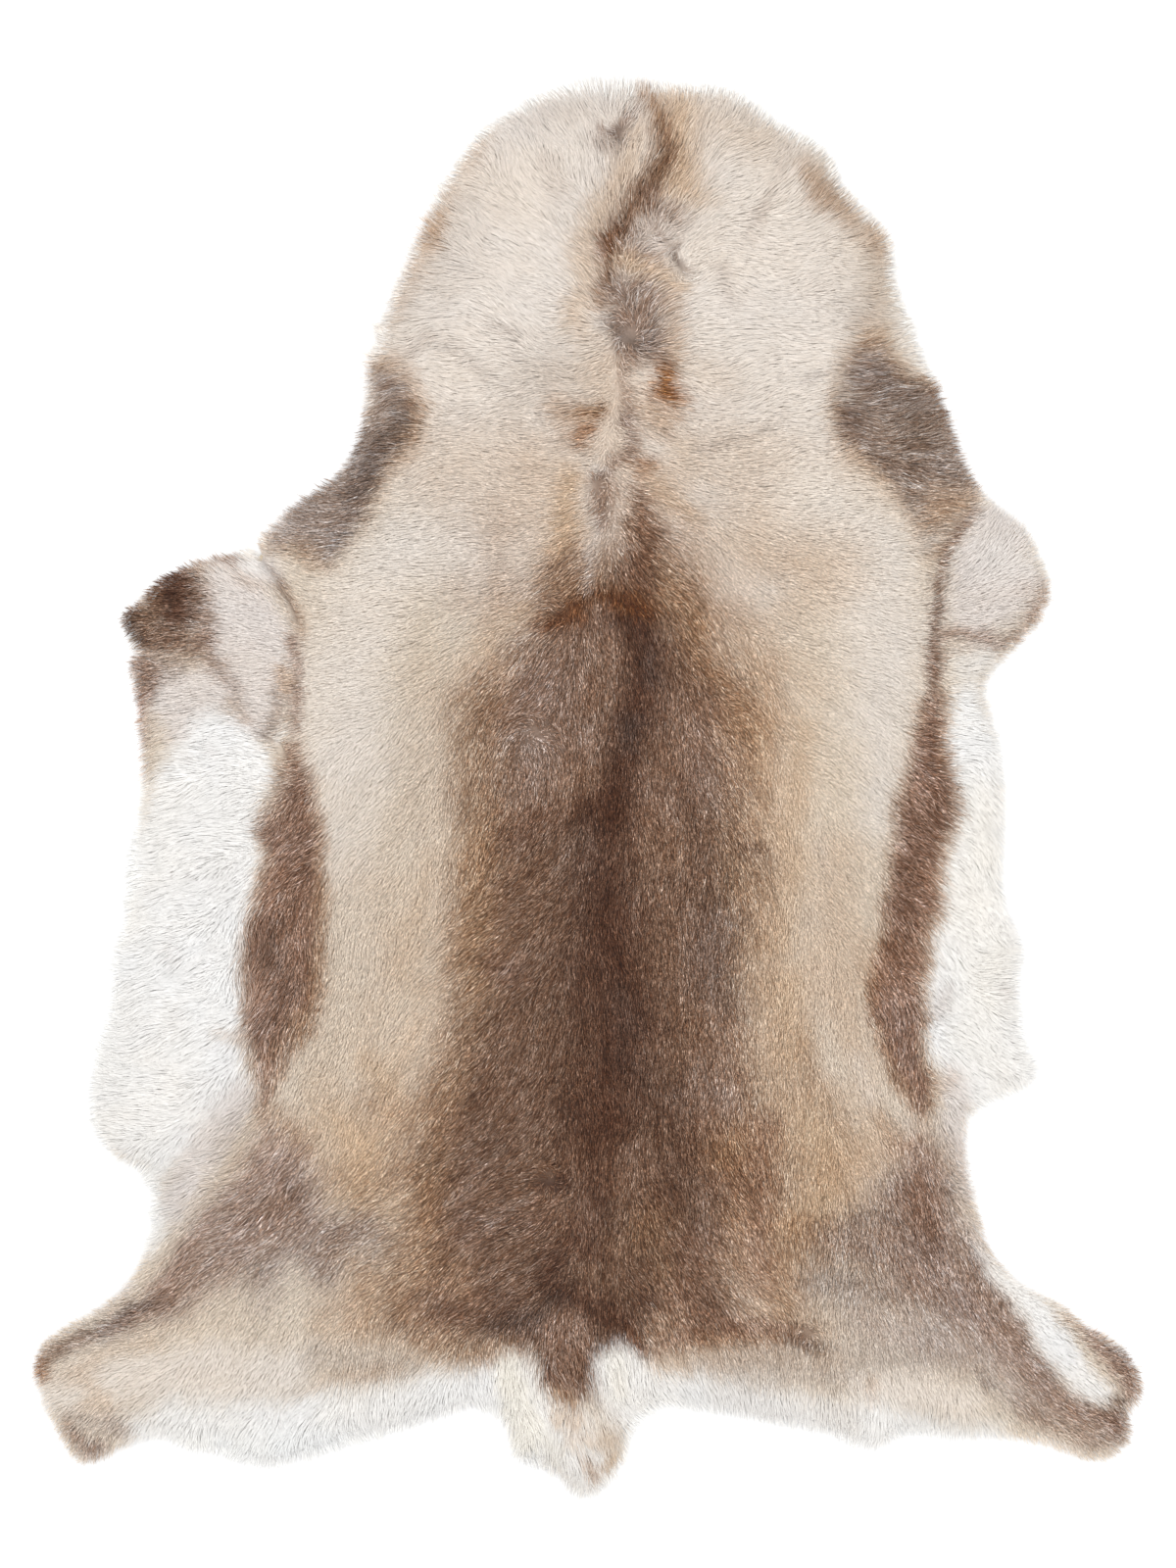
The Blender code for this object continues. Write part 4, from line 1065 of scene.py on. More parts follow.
def pile_chart(chart, distance):
    """The height of the lie of the pile, from the CAD solid's top."""
    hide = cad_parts["hide"]
    tree = BVHTree.FromPolygons([v.co for v in hide.data.vertices], [f.vertices for f in hide.data.polygons])
    heights = np.zeros(chart.x.shape)
    above = 0.2
    down = Vector((0, 0, -1))
    for i, j in zip(*np.nonzero(distance < 0)):
        place = tree.ray_cast(Vector((chart.x[i, j] * MM, chart.y[i, j] * MM, above)), down)[0]
        heights[i, j] = place.z / MM if place else 0.0
    for _, half_width, depth, *points in FOLDS:
        gap = stroke_distance(chart.x, chart.y, [(x, y, 0) for x, y in points])
        heights -= depth * smooth_step(1 - gap / (2 * half_width))
    rim = RIM_PILE * np.clip(1 - distance / RIM_FALL, 0, 1)
    return np.where(distance < 0, np.maximum(heights, LEAST_PILE), rim)


def comb_chart(chart, distance):
    """Which way the hair lies, as two charts of a unit vector: the comb lines, the whorls and the rim.

    The third chart tells where it parts, from 0 to 1."""
    east = np.zeros(chart.x.shape)
    north = np.zeros(chart.x.shape)
    for lines in COMB.values():
        for line in lines:
            for (x1, y1), (x2, y2) in zip(line, line[1:]):
                length = math.hypot(x2 - x1, y2 - y1)
                steps = max(1, round(length / COMB_STEP))
                for k in range(steps):
                    t = (k + 0.5) / steps
                    gap = (chart.x - x1 - t * (x2 - x1)) ** 2 + (chart.y - y1 - t * (y2 - y1)) ** 2
                    weight = (length / steps) / (gap + COMB_NEAR ** 2) ** 2
                    east += weight * (x2 - x1) / length
                    north += weight * (y2 - y1) / length
    size = np.hypot(east, north)
    east /= size
    north /= size
    for _, x, y, reach, twist, strength in WHORLS:
        dx = chart.x - x
        dy = chart.y - y
        far = np.hypot(dx, dy) + 0.1
        weight = strength * np.exp(-(far / reach) ** 2)
        c = math.cos(math.radians(twist))
        s = math.sin(math.radians(twist))
        east += weight * ((dx * c - dy * s) / far - east)
        north += weight * ((dx * s + dy * c) / far - north)
    out_north, out_east = np.gradient(distance, chart.step)
    outwards = RIM_TURN * rise(distance, -RIM_TURN_FROM, 0)
    east += outwards * out_east
    north += outwards * out_north
    size = np.hypot(east, north) + TINY
    east /= size
    north /= size
    spreading = np.gradient(east, chart.step, axis=1) + np.gradient(north, chart.step, axis=0)
    return east, north, np.clip(PARTING_WIDTH * spreading, 0, 1)


def colour_chart(chart):
    """The colour of the coat, painted stroke by stroke."""
    colour = np.empty(chart.x.shape + (3,))
    colour[:] = linear("fawn")
    x = chart.x + layered_noise(chart.x, chart.y, MARKING_WANDER_X)
    y = chart.y + layered_noise(chart.x, chart.y, MARKING_WANDER_Y)
    areas = {name: outline_distance(x, y, np.array(ring)) for name, ring in AREAS.items()}
    for rows in MARKINGS.values():
        for name, strength, soft, *shape in rows:
            if isinstance(shape[0], str):
                gap = areas[shape[0]] - shape[1]
            else:
                gap = stroke_distance(x, y, shape)
            amount = strength * smooth_step(0.5 - gap / (2 * soft))
            colour += amount[..., None] * (np.array(linear(name)) - colour)
    dark = 1 - rise(colour[..., 1], *MOTTLED_RANGE)
    value = np.exp((MOTTLE[0] + MOTTLE[1] * dark) * layered_noise(x, y, MOTTLE_NOISE))
    tint = (WARMTH[0] + WARMTH[1] * dark) * layered_noise(x, y, WARMTH_NOISE)
    return colour * np.stack([value * (1 + tint), value, value * (1 - 1.5 * tint)], -1)


def lengths_at(x, y):
    """The hair's length, blended between the regions."""
    total = np.zeros(x.shape)
    length = np.zeros(x.shape)
    for _, cx, cy, rx, ry, value in LENGTHS:
        weight = np.exp(-((x - cx) / rx) ** 2 - ((y - cy) / ry) ** 2) + 1e-6
        total += weight
        length += weight * value
    return length / total


def overhang_at(x, y):
    """How much further than elsewhere the hair hangs past the outline."""
    hang = np.zeros(x.shape)
    for _, hx, hy, reach, extra in OVERHANGS:
        hang += extra * np.exp(-((x - hx) ** 2 + (y - hy) ** 2) / reach ** 2)
    return hang


def clumps(x, y, spacing, seed):
    """The middle of each hair's clump, and a random value from -1 to 1 that the clump shares."""
    rng = np.random.default_rng(seed)
    shift = rng.uniform(-CLUMP_JITTER, CLUMP_JITTER, (CLUMP_CELLS, CLUMP_CELLS, 2))
    mood = rng.uniform(-1, 1, (CLUMP_CELLS, CLUMP_CELLS))
    i0 = np.floor(x / spacing).astype(int)
    j0 = np.floor(y / spacing).astype(int)
    best = np.full(x.shape, FAR)
    middle_x = np.zeros(x.shape)
    middle_y = np.zeros(x.shape)
    shared = np.zeros(x.shape)
    for di in (-1, 0, 1):
        for dj in (-1, 0, 1):
            i = (i0 + di) % CLUMP_CELLS
            j = (j0 + dj) % CLUMP_CELLS
            cx = (i0 + di + 0.5 + shift[i, j, 0]) * spacing
            cy = (j0 + dj + 0.5 + shift[i, j, 1]) * spacing
            gap = (x - cx) ** 2 + (y - cy) ** 2
            nearer = gap < best
            best = np.where(nearer, gap, best)
            middle_x = np.where(nearer, cx, middle_x)
            middle_y = np.where(nearer, cy, middle_y)
            shared = np.where(nearer, mood[i, j], shared)
    return middle_x, middle_y, shared


class Coat:
    """What the hair and the wool share: the outline, the lie and height of the pile, and its colours."""

    def __init__(self):
        self.ring = outline_ring()
        self.shape = Chart(COMB_GRID)
        self.distance = outline_distance(self.shape.x, self.shape.y, self.ring)
        self.height = pile_chart(self.shape, self.distance)
        self.east, self.north, self.parting = comb_chart(self.shape, self.distance)
        lengths = lengths_at(self.shape.x, self.shape.y)
        self.wild = np.clip((lengths - WILD_FROM) / (WILD_AT - WILD_FROM), 0, 1)
        self.paint = Chart(COLOUR_GRID)
        self.colour = colour_chart(self.paint)

    def outside(self, x, y):
        return self.shape.read(self.distance, x, y)

    def top(self, x, y):
        return self.shape.read(self.height, x, y)

    def slope(self, values, x, y):
        """How fast the values of one of the coarser charts rise towards +x and +y."""
        rise_y, rise_x = np.gradient(values, self.shape.step)
        return self.shape.read(rise_x, x, y), self.shape.read(rise_y, x, y)

    def colours(self, x, y):
        return self.paint.read(self.colour, x, y)

    def heading(self, x, y, turn):
        """Which way a hair at this place points, turned by so many radians."""
        east = self.shape.read(self.east, x, y)
        north = self.shape.read(self.north, x, y)
        wild = self.shape.read(self.wild, x, y)
        angle = np.arctan2(north, east) + turn
        for short, more, size, seed in WANDER:
            angle += (short + more * wild) * soft_noise(x, y, size, seed)
        return np.cos(angle), np.sin(angle)

    def streaks(self, x, y, layers):
        """Random values from about -1 to 1, drawn out along the lie of the hair."""
        east, north = self.heading(x, y, 0.0)
        total = np.zeros(x.shape)
        for strength, size, seed, steps in layers:
            for k in range(-steps, steps + 1):
                noise = soft_noise(x + east * k * size, y + north * k * size, size, seed)
                total += strength / math.sqrt(2 * steps + 1) * noise
        return total


def node_of(tree, kind, links=(), **settings):
    """A shader node with its settings, and its inputs linked or set."""
    node = tree.nodes.new(kind)
    for key, value in settings.items():
        setattr(node, key, value)
    for name, value in dict(links).items():
        socket = node.inputs[name]
        if isinstance(value, bpy.types.NodeSocket):
            tree.links.new(value, socket)
        else:
            socket.default_value = value
    return node


def new_material(name, inputs):
    """A material with an output, its node tree, and its shader node with these inputs."""
    material = bpy.data.materials.new(name)
    material.use_nodes = True
    tree = material.node_tree
    tree.nodes.clear()
    shader = node_of(tree, "ShaderNodeBsdfPrincipled", inputs)
    node_of(tree, "ShaderNodeOutputMaterial", {"Surface": shader.outputs["BSDF"]})
    return material, tree, shader


def per_metre(size):
    """The scale of a pattern whose bumps or cells are this many millimetres across."""
    return 1 / (size * MM)


def hair_material():
    """Keratin hair: smooth scaly fibres, banded darker and paler along their length, with a soft gloss.

    The colour of each hair, and how strongly it is banded, come with the mesh."""
    material, tree, shader = new_material("guard hair", {"IOR": 1.55, "Specular IOR Level": 0.14})
    coat = node_of(tree, "ShaderNodeAttribute", attribute_name="hair_colour")
    place = node_of(tree, "ShaderNodeAttribute", attribute_name="along")
    # bands along each hair, from its own part of the noise
    fleck = node_of(
        tree, "ShaderNodeTexNoise",
        {"Vector": place.outputs["Vector"], "Scale": BANDS_ON_A_HAIR, "Detail": 1.0},
    )
    swing = node_of(
        tree, "ShaderNodeMapRange",
        {"Value": fleck.outputs["Fac"], "From Min": 0.3, "From Max": 0.7, "To Min": -1.0, "To Max": 1.0},
    )
    share = node_of(tree, "ShaderNodeSeparateXYZ", {"Vector": place.outputs["Vector"]})
    depth = node_of(
        tree, "ShaderNodeMath", {0: swing.outputs["Result"], 1: share.outputs["Z"]}, operation="MULTIPLY",
    )
    light = node_of(tree, "ShaderNodeMath", {0: math.e, 1: depth.outputs["Value"]}, operation="POWER")
    flecked = node_of(
        tree, "ShaderNodeVectorMath",
        {0: coat.outputs["Color"], "Scale": light.outputs["Value"]},
        operation="SCALE",
    )
    gloss = node_of(
        tree, "ShaderNodeMapRange", {"Value": fleck.outputs["Fac"], "To Min": 0.40, "To Max": 0.56},
    )
    tree.links.new(flecked.outputs["Vector"], shader.inputs["Base Color"])
    tree.links.new(gloss.outputs["Result"], shader.inputs["Roughness"])
    return material


def wool_material():
    """Crimped undercoat wool: matt and soft, in the shade between the guard hairs."""
    material, tree, shader = new_material("undercoat wool", {"Roughness": 0.9, "Sheen Weight": 0.2})
    coat = node_of(tree, "ShaderNodeAttribute", attribute_name="hair_colour")
    place = node_of(tree, "ShaderNodeTexCoord").outputs["Object"]
    crimp = node_of(
        tree, "ShaderNodeTexNoise", {"Vector": place, "Scale": per_metre(CRIMP_SIZE), "Detail": 3.0},
    )
    shade = node_of(
        tree, "ShaderNodeMapRange",
        {"Value": crimp.outputs["Fac"], "From Min": 0.3, "From Max": 0.7, "To Min": 0.75, "To Max": 1.0},
    )
    shaded = node_of(
        tree, "ShaderNodeVectorMath",
        {0: coat.outputs["Color"], "Scale": shade.outputs["Result"]},
        operation="SCALE",
    )
    bump = node_of(
        tree, "ShaderNodeBump",
        {"Height": crimp.outputs["Fac"], "Strength": 0.6, "Distance": CRIMP_DEPTH * MM},
    )
    tree.links.new(shaded.outputs["Vector"], shader.inputs["Base Color"])
    tree.links.new(bump.outputs["Normal"], shader.inputs["Normal"])
    return material


def skin_material():
    """Tanned reindeer leather, flesh side out: pale suede nap, with cloudy patches and fine veins."""
    material, tree, shader = new_material("tanned suede", {"Roughness": 0.92, "Sheen Weight": 0.25})
    place = node_of(tree, "ShaderNodeTexCoord").outputs["Object"]
    cloud = node_of(
        tree, "ShaderNodeTexNoise", {"Vector": place, "Scale": per_metre(CLOUD_SIZE), "Detail": 5.0},
    )
    nap = node_of(
        tree, "ShaderNodeTexNoise", {"Vector": place, "Scale": per_metre(NAP_SIZE), "Detail": 4.0},
    )
    # veins and flesh marks, which wind along the clouds
    vein = node_of(
        tree, "ShaderNodeTexVoronoi",
        {"Vector": cloud.outputs["Color"], "Scale": VEINS},
        feature="DISTANCE_TO_EDGE",
    )
    tone = node_of(tree, "ShaderNodeValToRGB", {"Fac": cloud.outputs["Fac"]})
    for stop, share, colour in zip(tone.color_ramp.elements, (0.35, 0.65), ("suede shade", "suede")):
        stop.position = share
        stop.color = (*linear(colour), 1)
    fade = node_of(
        tree, "ShaderNodeMapRange",
        {"Value": vein.outputs["Distance"], "From Min": 0.0, "From Max": 0.05, "To Min": 0.88, "To Max": 1.0},
    )
    veined = node_of(
        tree, "ShaderNodeVectorMath",
        {0: tone.outputs["Color"], "Scale": fade.outputs["Result"]},
        operation="SCALE",
    )
    bump = node_of(
        tree, "ShaderNodeBump",
        {"Height": nap.outputs["Fac"], "Strength": 0.5, "Distance": NAP_DEPTH * MM},
    )
    tree.links.new(veined.outputs["Vector"], shader.inputs["Base Color"])
    tree.links.new(bump.outputs["Normal"], shader.inputs["Normal"])
    return material


def new_object(name, mesh, material):
    mesh.materials.append(material)
    obj = bpy.data.objects.new(name, mesh)
    bpy.context.scene.collection.objects.link(obj)
    return obj


def inset_ring(coat, inset, edge, spacing):
    """The outline drawn in by so much, in even steps: points are pushed in along the distance's slope."""
    wander, size, seed = edge
    closed = np.vstack([coat.ring, coat.ring[:1]])
    steps = np.hypot(*np.diff(closed, axis=0).T)
    marks = np.concatenate([[0], np.cumsum(steps)])
    places = np.linspace(0, marks[-1], int(marks[-1] / spacing), endpoint=False)
    x = np.interp(places, marks, closed[:, 0])
    y = np.interp(places, marks, closed[:, 1])
    goal = -inset + wander * soft_noise(x, y, size, seed)
    for _ in range(INSET_ROUNDS):
        miss = goal - coat.outside(x, y)
        slope_x, slope_y = coat.slope(coat.distance, x, y)
        steepness = np.hypot(slope_x, slope_y) + 1e-6
        x = x + INSET_PUSH * miss * slope_x / steepness
        y = y + INSET_PUSH * miss * slope_y / steepness
    return without_bunches(np.stack([x, y], 1), LEAST_STEP * spacing)


def without_bunches(ring, least):
    """The ring without points that bunch up or double back."""
    kept = [ring[0]]
    for point in ring[1:]:
        if np.hypot(*(point - kept[-1])) > least:
            kept.append(point)
    return np.array(kept)


def filled(ring, coat, inset, grid):
    """Points and triangles that fill a ring, with rows of points inside it."""
    low = ring.min(0)
    high = ring.max(0)
    gx, gy = np.meshgrid(np.arange(low[0], high[0], grid), np.arange(low[1], high[1], grid * ROW_STEP))
    gx = gx + np.where(np.arange(gx.shape[0]) % 2, grid / 2, 0)[:, None]
    inner = coat.outside(gx, gy) < -(inset + ROW_CLEARANCE * grid)
    points = [Vector(p) for p in ring] + [Vector(p) for p in zip(gx[inner], gy[inner])]
    edges = [(i, (i + 1) % len(ring)) for i in range(len(ring))]
    found, _, faces, _, _, _ = delaunay_2d_cdt(points, edges, [list(range(len(ring)))], 1, 1e-4)
    return np.array([tuple(p) for p in found]), [tuple(f) for f in faces]


def sheet_mesh(name, x, y, z, faces):
    """A smooth mesh from places in millimetres, which faces upwards."""
    mesh = bpy.data.meshes.new(name)
    mesh.from_pydata([(a * MM, b * MM, c * MM) for a, b, c in zip(x, y, z)], [], faces)
    if sum(face.normal.z for face in mesh.polygons) < 0:
        mesh.flip_normals()
    mesh.shade_smooth()
    return mesh


def make_skin(coat):
    """The tanned skin: one cut sheet that lies on the floor, a little rippled, with its size and area."""
    ring = inset_ring(coat, SKIN_INSET, SKIN_EDGE, SKIN_EDGE_STEP)
    points, faces = filled(ring, coat, SKIN_INSET, SKIN_GRID)
    x, y = points.T
    inward = smooth_step((-coat.outside(x, y) - SKIN_FLAT_RIM) / SKIN_RISE)
    lift = SKIN_RIPPLE * (0.5 + layered_noise(x, y, (SKIN_RIPPLE_NOISE,))) * inward
    skin = new_object("skin", sheet_mesh("skin", x, y, lift, faces), skin_material())
    thick = skin.modifiers.new("thickness", "SOLIDIFY")
    thick.thickness = SKIN_THICKNESS * MM
    thick.offset = 1.0
    return skin, (np.ptp(x) * MM, np.ptp(y) * MM), ring_area(ring) * MM * MM


def make_undercoat(coat):
    """The woolly undercoat, a soft surface just under the guard hair, in locks along its lie."""
    ring = inset_ring(coat, WOOL_INSET, WOOL_EDGE, WOOL_GRID)
    points, faces = filled(ring, coat, WOOL_INSET, WOOL_GRID)
    x, y = points.T
    inward = smooth_step(-(coat.outside(x, y) + WOOL_INSET) / WOOL_RISE)
    relief = WOOL_RELIEF * coat.streaks(x, y, LOCKS)
    z = SKIN_THICKNESS + (coat.top(x, y) - WOOL_DEPTH + relief - SKIN_THICKNESS) * inward
    z = np.maximum(z, SKIN_THICKNESS * WOOL_FOOT)
    mesh = sheet_mesh("undercoat", x, y, z, faces)
    shade = np.ones((len(x), 4), np.float32)
    colours = coat.colours(x, y)
    shade[:, :3] = colours * between((WOOL_DARKEST, 1.0), smooth_step(colours[:, 1:2] / WOOL_WHITE))
    mesh.attributes.new("hair_colour", "FLOAT_COLOR", "POINT").data.foreach_set("color", shade.ravel())
    return new_object("undercoat", mesh, wool_material())


def fold_share(x, y, tx, ty):
    """How much of each hair from x, y to tx, ty lies before the first fold of the skin."""
    share = np.ones(x.shape)
    for _, _, _, *points in FOLDS:
        for (x1, y1), (x2, y2) in zip(points, points[1:]):
            ex = x2 - x1
            ey = y2 - y1
            cross = (tx - x) * ey - (ty - y) * ex
            cross = np.where(np.abs(cross) < 1e-6, 1e-6, cross)
            along_hair = ((x1 - x) * ey - (y1 - y) * ex) / cross
            along_fold = ((x1 - x) * (ty - y) - (y1 - y) * (tx - x)) / cross
            meets = (along_hair > 0) & (along_hair < 1) & (along_fold >= 0) & (along_fold <= 1)
            share = np.where(meets, np.minimum(share, along_hair), share)
    return share


def scattered_roots(coat, rng):
    """Where the hairs grow: an even scatter over the hide, short of its outline."""
    spacing = math.sqrt(ring_area(coat.ring) / STRANDS)
    low = coat.ring.min(0)
    high = coat.ring.max(0)
    x, y = np.meshgrid(np.arange(low[0], high[0], spacing), np.arange(low[1], high[1], spacing))
    x = x.ravel() + rng.uniform(-ROOT_JITTER, ROOT_JITTER, x.size) * spacing
    y = y.ravel() + rng.uniform(-ROOT_JITTER, ROOT_JITTER, y.size) * spacing
    grows = coat.outside(x, y) < -ROOT_INSET
    return x[grows], y[grows]


def course(coat, x, y, turn, length):
    """Where hairs that grow at x, y bend and end, seen from above."""
    east, north = coat.heading(x, y, turn)
    bx = x + east * length * BEND_AT
    by = y + north * length * BEND_AT
    east, north = coat.heading(bx, by, turn * TIP_TURN)
    return bx, by, bx + east * length * (1 - BEND_AT), by + north * length * (1 - BEND_AT)


def combed(coat, x, y, calm, rng):
    """Where each hair bends and ends, seen from above, and how far it gathers into a lock."""
    count = len(x)
    hang = overhang_at(x, y)
    length = lengths_at(x, y) + np.maximum(hang, 0)
    locked = np.clip((length - LOCKS_FROM) / (LOCKS_AT - LOCKS_FROM), 0, 1)
    parting = coat.shape.read(coat.parting, x, y)
    middle_x, middle_y, clump_mood = clumps(x, y, CLUMP_SPACING, CLUMP_SEED)
    lock_mood = clumps(x, y, LOCK_SPACING, LOCK_SEED)[2]
    turn = (CLUMP_TURN * clump_mood + LOCK_TURN * lock_mood * locked) * (1 - CALM_TURN * calm)
    own = length * rng.uniform(*OWN_LENGTHS, count) * (1 - SHORTER_AT_PARTING * parting)
    stray = rng.normal(0, 1, count) * (STRAY + STRAY_AT_PARTING * parting) * (1 - CALM_STRAY * calm)
    bx, by, tx, ty = course(coat, x, y, turn + stray, own)
    clump_x, clump_y = course(coat, middle_x, middle_y, turn, length)[2:]
    pull = (CLUMP_PULL + LOCK_PULL * locked) * rng.uniform(LEAST_PULL, 1.0, count) * (1 - parting)
    tx += pull * (clump_x - tx)
    ty += pull * (clump_y - ty)
    keep = fold_share(x, y, tx, ty)
    limit = TIP_REACH + hang - TIP_SCATTER * rng.uniform(0, 1, count) ** TIP_SCATTER_POWER
    for _ in range(TRIMS):
        tx = x + (tx - x) * keep
        ty = y + (ty - y) * keep
        bx = x + (bx - x) * keep
        by = y + (by - y) * keep
        over = np.maximum(coat.outside(tx, ty) - limit, 0)
        keep = np.clip(1 - over / np.maximum(np.hypot(tx - x, ty - y), 1), LEAST_KEPT, 1)
    return bx, by, tx, ty, locked


def heights(coat, x, y, tx, ty, calm, rng):
    """How high each hair's root, bend and tip lie."""
    count = len(x)
    lock = coat.streaks(tx, ty, LOCKS)
    tip = coat.top(tx, ty) - TIP_SINK - between(TIP_DEPTHS, calm) * rng.uniform(0, 1, count)
    tip += between(TIP_LIFT, calm) * lock
    root = coat.top(x, y) - ROOT_SINK - ROOT_DEPTHS * rng.uniform(0, 1, count) + ROOT_LIFT * lock
    tip = np.maximum(tip, LOWEST_TIP + LOWEST_TIPS_SPREAD * rng.uniform(0, 1, count))
    root = np.maximum(root, SKIN_THICKNESS + ROOT_ABOVE_SKIN)
    return root, root + BEND_RISE * (tip - root) + BEND_ARCH, tip


def half_widths(x, y, tx, ty, rng):
    """Half of each hair's width, as an arrow across it that is rolled a little about its length."""
    count = len(x)
    across = unit(np.stack([ty - y, x - tx], 1), 1)
    roll = rng.normal(0, ROLL, count)
    half = STRAND_WIDTH * rng.uniform(*STRAND_WIDTHS, count) / 2
    level = np.cos(roll) * half
    return np.stack([across[:, 0] * level, across[:, 1] * level, np.sin(roll) * half], 1)


def grow_hair(coat):
    """All the guard hair: the places, half widths, colours, banding and shading normals of its hairs."""
    rng = np.random.default_rng(SEED)
    x, y = scattered_roots(coat, rng)
    calm = rise(coat.colours(x, y)[:, 1], *CALM_RANGE)
    bx, by, tx, ty, locked = combed(coat, x, y, calm, rng)
    root_z, bend_z, tip_z = heights(coat, x, y, tx, ty, calm, rng)
    side = half_widths(x, y, tx, ty, rng)
    root = np.stack([x, y, root_z], 1)
    bend = np.stack([bx, by, bend_z], 1)
    tip = np.stack([tx, ty, tip_z], 1)
    colour, shaded_root_colour, banding, pale = hair_colours(coat, bx, by, coat.outside(tx, ty), locked, rng)
    normals = hair_normals(coat, root, bend, tip, side, pale)
    return root, bend, tip, side, colour, shaded_root_colour, banding, normals


def hair_normals(coat, root, bend, tip, side, pale):
    """The shading normals of each hair's four corners, part way to the normal of the pile around it."""
    lower = unit(np.cross(side, bend - root), 1)
    upper = unit(np.cross(side, tip - bend), 1)
    slope_x, slope_y = coat.slope(coat.height, bend[:, 0], bend[:, 1])
    pile = unit(np.stack([-SLOPE_SHARE * slope_x, -SLOPE_SHARE * slope_y, np.ones(len(bend))], 1), 1)
    middle = unit(lower + upper, 1)
    share = between(NORMAL_FROM_PILE, pale)[:, None, None]
    return unit(np.stack([lower, middle, middle, upper], 1) * (1 - share) + share * pile[:, None, :], 2)


def hair_colours(coat, x, y, reach, locked, rng):
    """Each hair's colour: the marking where it grows, lighter or darker, some with a tan or a dark band.

    Also the colour of its root, darkened as painted shade deep in the pile, how strongly it is banded, and
    how pale it is from 0 to 1."""
    count = len(x)
    colour = coat.colours(x + rng.normal(0, FEATHERING, count), y + rng.normal(0, FEATHERING, count))
    bright = colour @ np.array(BRIGHTNESS)
    dark = 1 - rise(bright, *DARK_RANGE)
    pale = rise(bright, *PALE_RANGE)
    spread = (SHADE_SPREAD + DARK_SHADE_SPREAD * dark) * (1 - PALE_CALM * pale)
    value = np.exp(spread * (rng.uniform(-1, 1, count) + coat.streaks(x, y, SHADE_LOCKS)))
    pick = rng.uniform(0, 1, count)
    value *= np.where(pick < PALE_HAIRS, 1 + PALE_BAND * dark, 1.0)
    value *= np.where(pick > 1 - DARK_HAIRS, 1 - DARK_BAND * dark, 1.0)
    # paler hairs turn greyer, partly as a painted glint of their gloss, and darker ones redder
    colour = np.clip(colour * value[:, None] ** np.array(VALUE_BY_CHANNEL), DARKEST, PALEST)
    bleached = BLEACH * rise(reach, *BLEACH_REACH) * rise(bright, *BLEACH_RANGE)
    colour += bleached[:, None] * (np.array(linear("snow")) - colour)
    banding = (BANDING[0] + BANDING[1] * (1 - pale) + BANDING[2] * dark) * (1 - BANDING_CALM * locked)
    # painted shade: the root lies deep under the other hair, so its colour is darkened
    shaded_root_colour = colour * (1 - ROOT_PAINTED_SHADE[0] * (1 - pale) - ROOT_PAINTED_SHADE[1] * dark)[:, None]
    return colour, shaded_root_colour, banding, pale


def hair_mesh(name, root, bend, tip, side, colour, shaded_root_colour, banding, normals):
    """A mesh of hairs, each two triangles: broadest at its bend and pointed at its ends."""
    count = len(root)
    corners = np.stack([root, bend + side, bend - side, tip], 1) * MM
    mesh = bpy.data.meshes.new(name)
    mesh.vertices.add(4 * count)
    mesh.vertices.foreach_set("co", corners.astype(np.float32).ravel())
    pattern = np.array([0, 1, 2, 2, 1, 3])
    loops = (4 * np.arange(count)[:, None] + pattern).ravel()
    mesh.loops.add(6 * count)
    mesh.loops.foreach_set("vertex_index", loops.astype(np.int32))
    mesh.polygons.add(2 * count)
    mesh.polygons.foreach_set("loop_start", np.arange(0, 6 * count, 3, dtype=np.int32))
    mesh.update(calc_edges=True)
    tint = np.ones((count, 4, 4), np.float32)
    tint[:, :, :3] = colour[:, None, :]
    tint[:, 0, :3] = shaded_root_colour
    mesh.attributes.new("hair_colour", "FLOAT_COLOR", "POINT").data.foreach_set("color", tint.ravel())
    along = np.zeros((count, 4, 3), np.float32)
    along[:, :, 0] = (0, BEND_AT, BEND_AT, 1)
    along[:, :, 1] = (OWN_BANDS * np.arange(count) % OWN_BANDS_ROUND)[:, None]
    along[:, :, 2] = banding[:, None]
    mesh.attributes.new("along", "FLOAT_VECTOR", "POINT").data.foreach_set("vector", along.ravel())
    mesh.shade_smooth()
    mesh.normals_split_custom_set_from_vertices(normals.reshape(-1, 3).tolist())
    return mesh


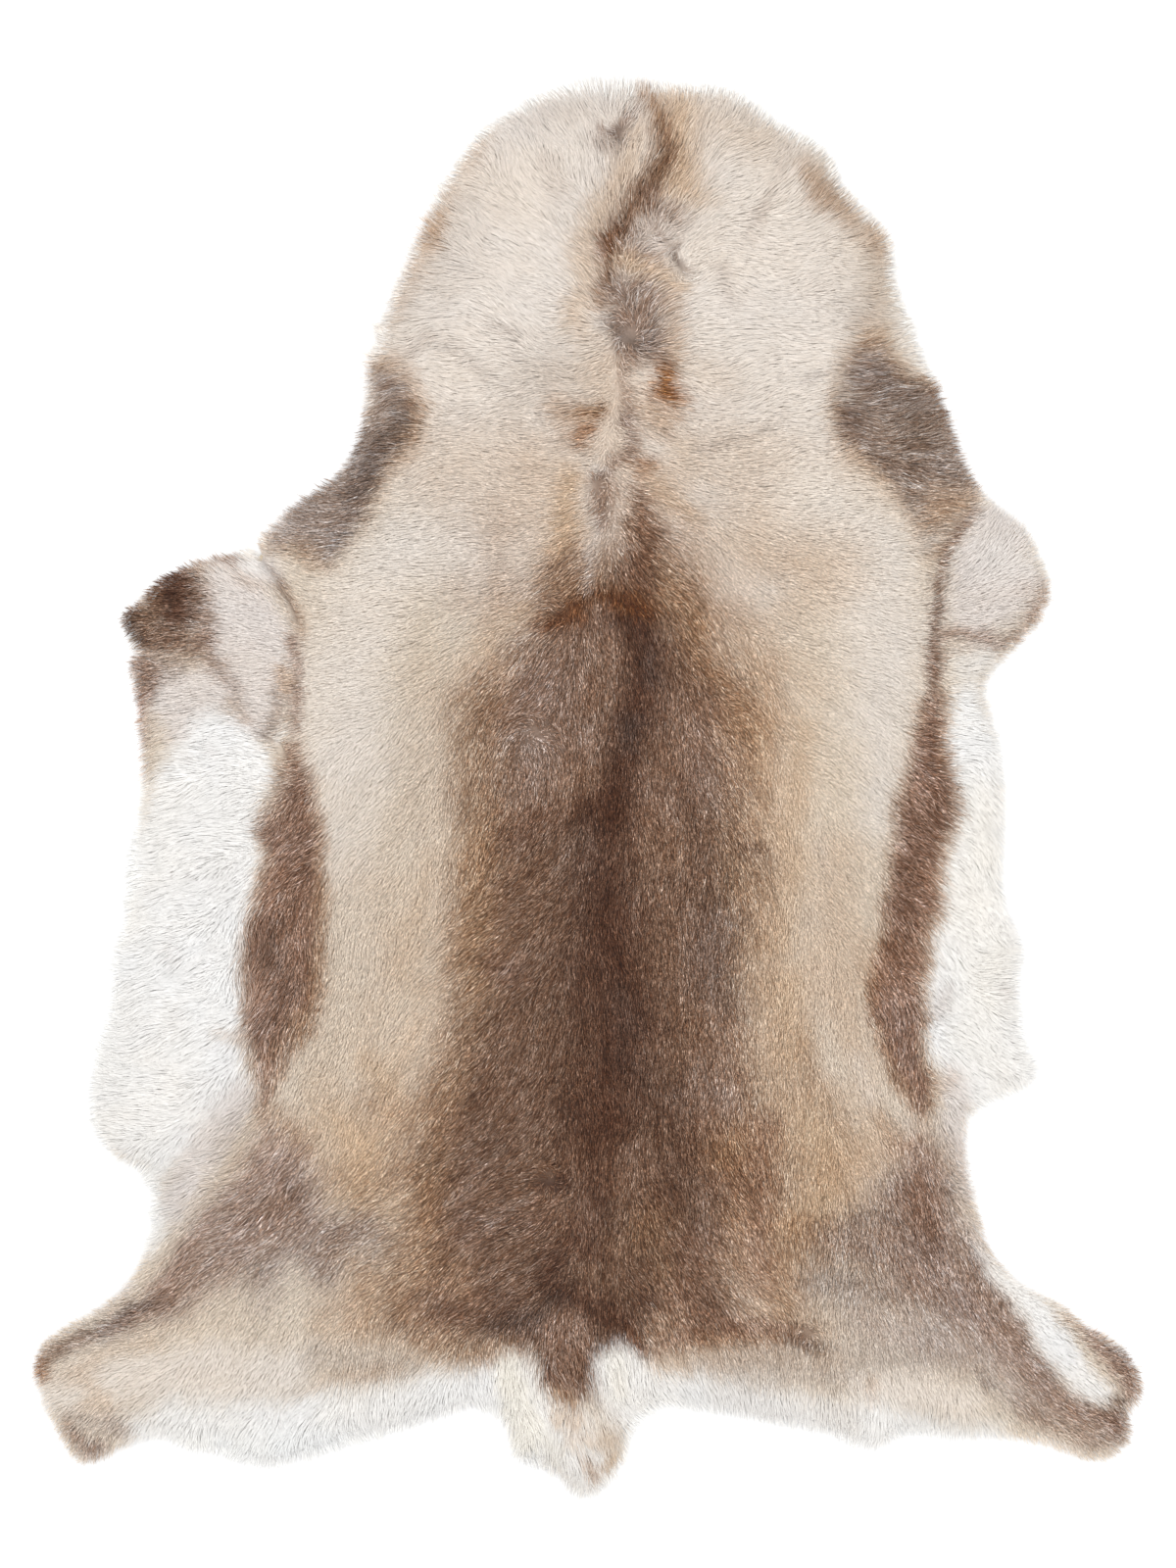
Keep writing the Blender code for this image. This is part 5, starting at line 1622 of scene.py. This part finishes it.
def make_guard_hair(coat):
    """The guard hair, in pieces of a size that stays easy to handle."""
    hairs = grow_hair(coat)
    root_x, root_y = hairs[0][:, :2].T
    x = root_x + layered_noise(root_x, root_y, PIECE_WANDER_X)
    y = root_y + layered_noise(root_x, root_y, PIECE_WANDER_Y)
    owner = np.stack([np.hypot(x - cx, y - cy) for _, cx, cy in HAIR_PIECES], 1).argmin(1)
    material = hair_material()
    pieces = []
    for k, (name, _, _) in enumerate(HAIR_PIECES):
        mine = owner == k
        if mine.sum() > MOST_IN_A_PIECE:
            raise ValueError(f"{name} has {mine.sum()} hairs")
        mesh = hair_mesh(name, *(values[mine] for values in hairs))
        pieces.append(new_object(name, mesh, material))
    return pieces


def make_floor():
    """A plain pale floor, just under the hide."""
    mesh = bpy.data.meshes.new("floor")
    near = -FLOOR_REACH
    far = FLOOR_REACH
    corners = [(near, near, 0), (far, near, 0), (far, far, 0), (near, far, 0)]
    mesh.from_pydata(corners, [], [(0, 1, 2, 3)])
    material = new_material("white studio floor", {"Base Color": FLOOR_WHITE, "Roughness": 0.8})[0]
    floor = new_object("floor", mesh, material)
    floor.location.z = -FLOOR_DROP


def make_light():
    """Even white light from all around, with two large soft lamps."""
    world = bpy.data.worlds.new("studio")
    world.use_nodes = True
    background = world.node_tree.nodes["Background"]
    background.inputs["Color"].default_value = (1.0, 1.0, 1.0, 1)
    background.inputs["Strength"].default_value = DAYLIGHT
    bpy.context.scene.world = world
    for name, place, size, power in LAMPS:
        light = bpy.data.lights.new(name, "AREA")
        light.size = size
        light.energy = power
        lamp = bpy.data.objects.new(name, light)
        lamp.location = place
        lamp.rotation_euler = (-Vector(place)).to_track_quat("-Z", "Y").to_euler()
        bpy.context.scene.collection.objects.link(lamp)
    bpy.context.scene.view_settings.view_transform = "Standard"


def make_camera():
    """A camera that looks straight down on the hide."""
    camera = bpy.data.cameras.new("camera")
    camera.lens = camera.sensor_width * CAMERA_DISTANCE / CAMERA_FIELD
    eye = bpy.data.objects.new("camera", camera)
    eye.location = Vector(CAMERA_OVER) + Vector((0, 0, CAMERA_DISTANCE))
    bpy.context.scene.collection.objects.link(eye)
    bpy.context.scene.camera = eye


def main():
    make_floor()
    make_light()
    make_camera()
    coat = Coat()
    skin, flat, area = make_skin(coat)
    undercoat = make_undercoat(coat)
    guard = make_guard_hair(coat)
    for piece in (skin, undercoat, *guard):
        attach(piece, "root")
        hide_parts("hide")


main()
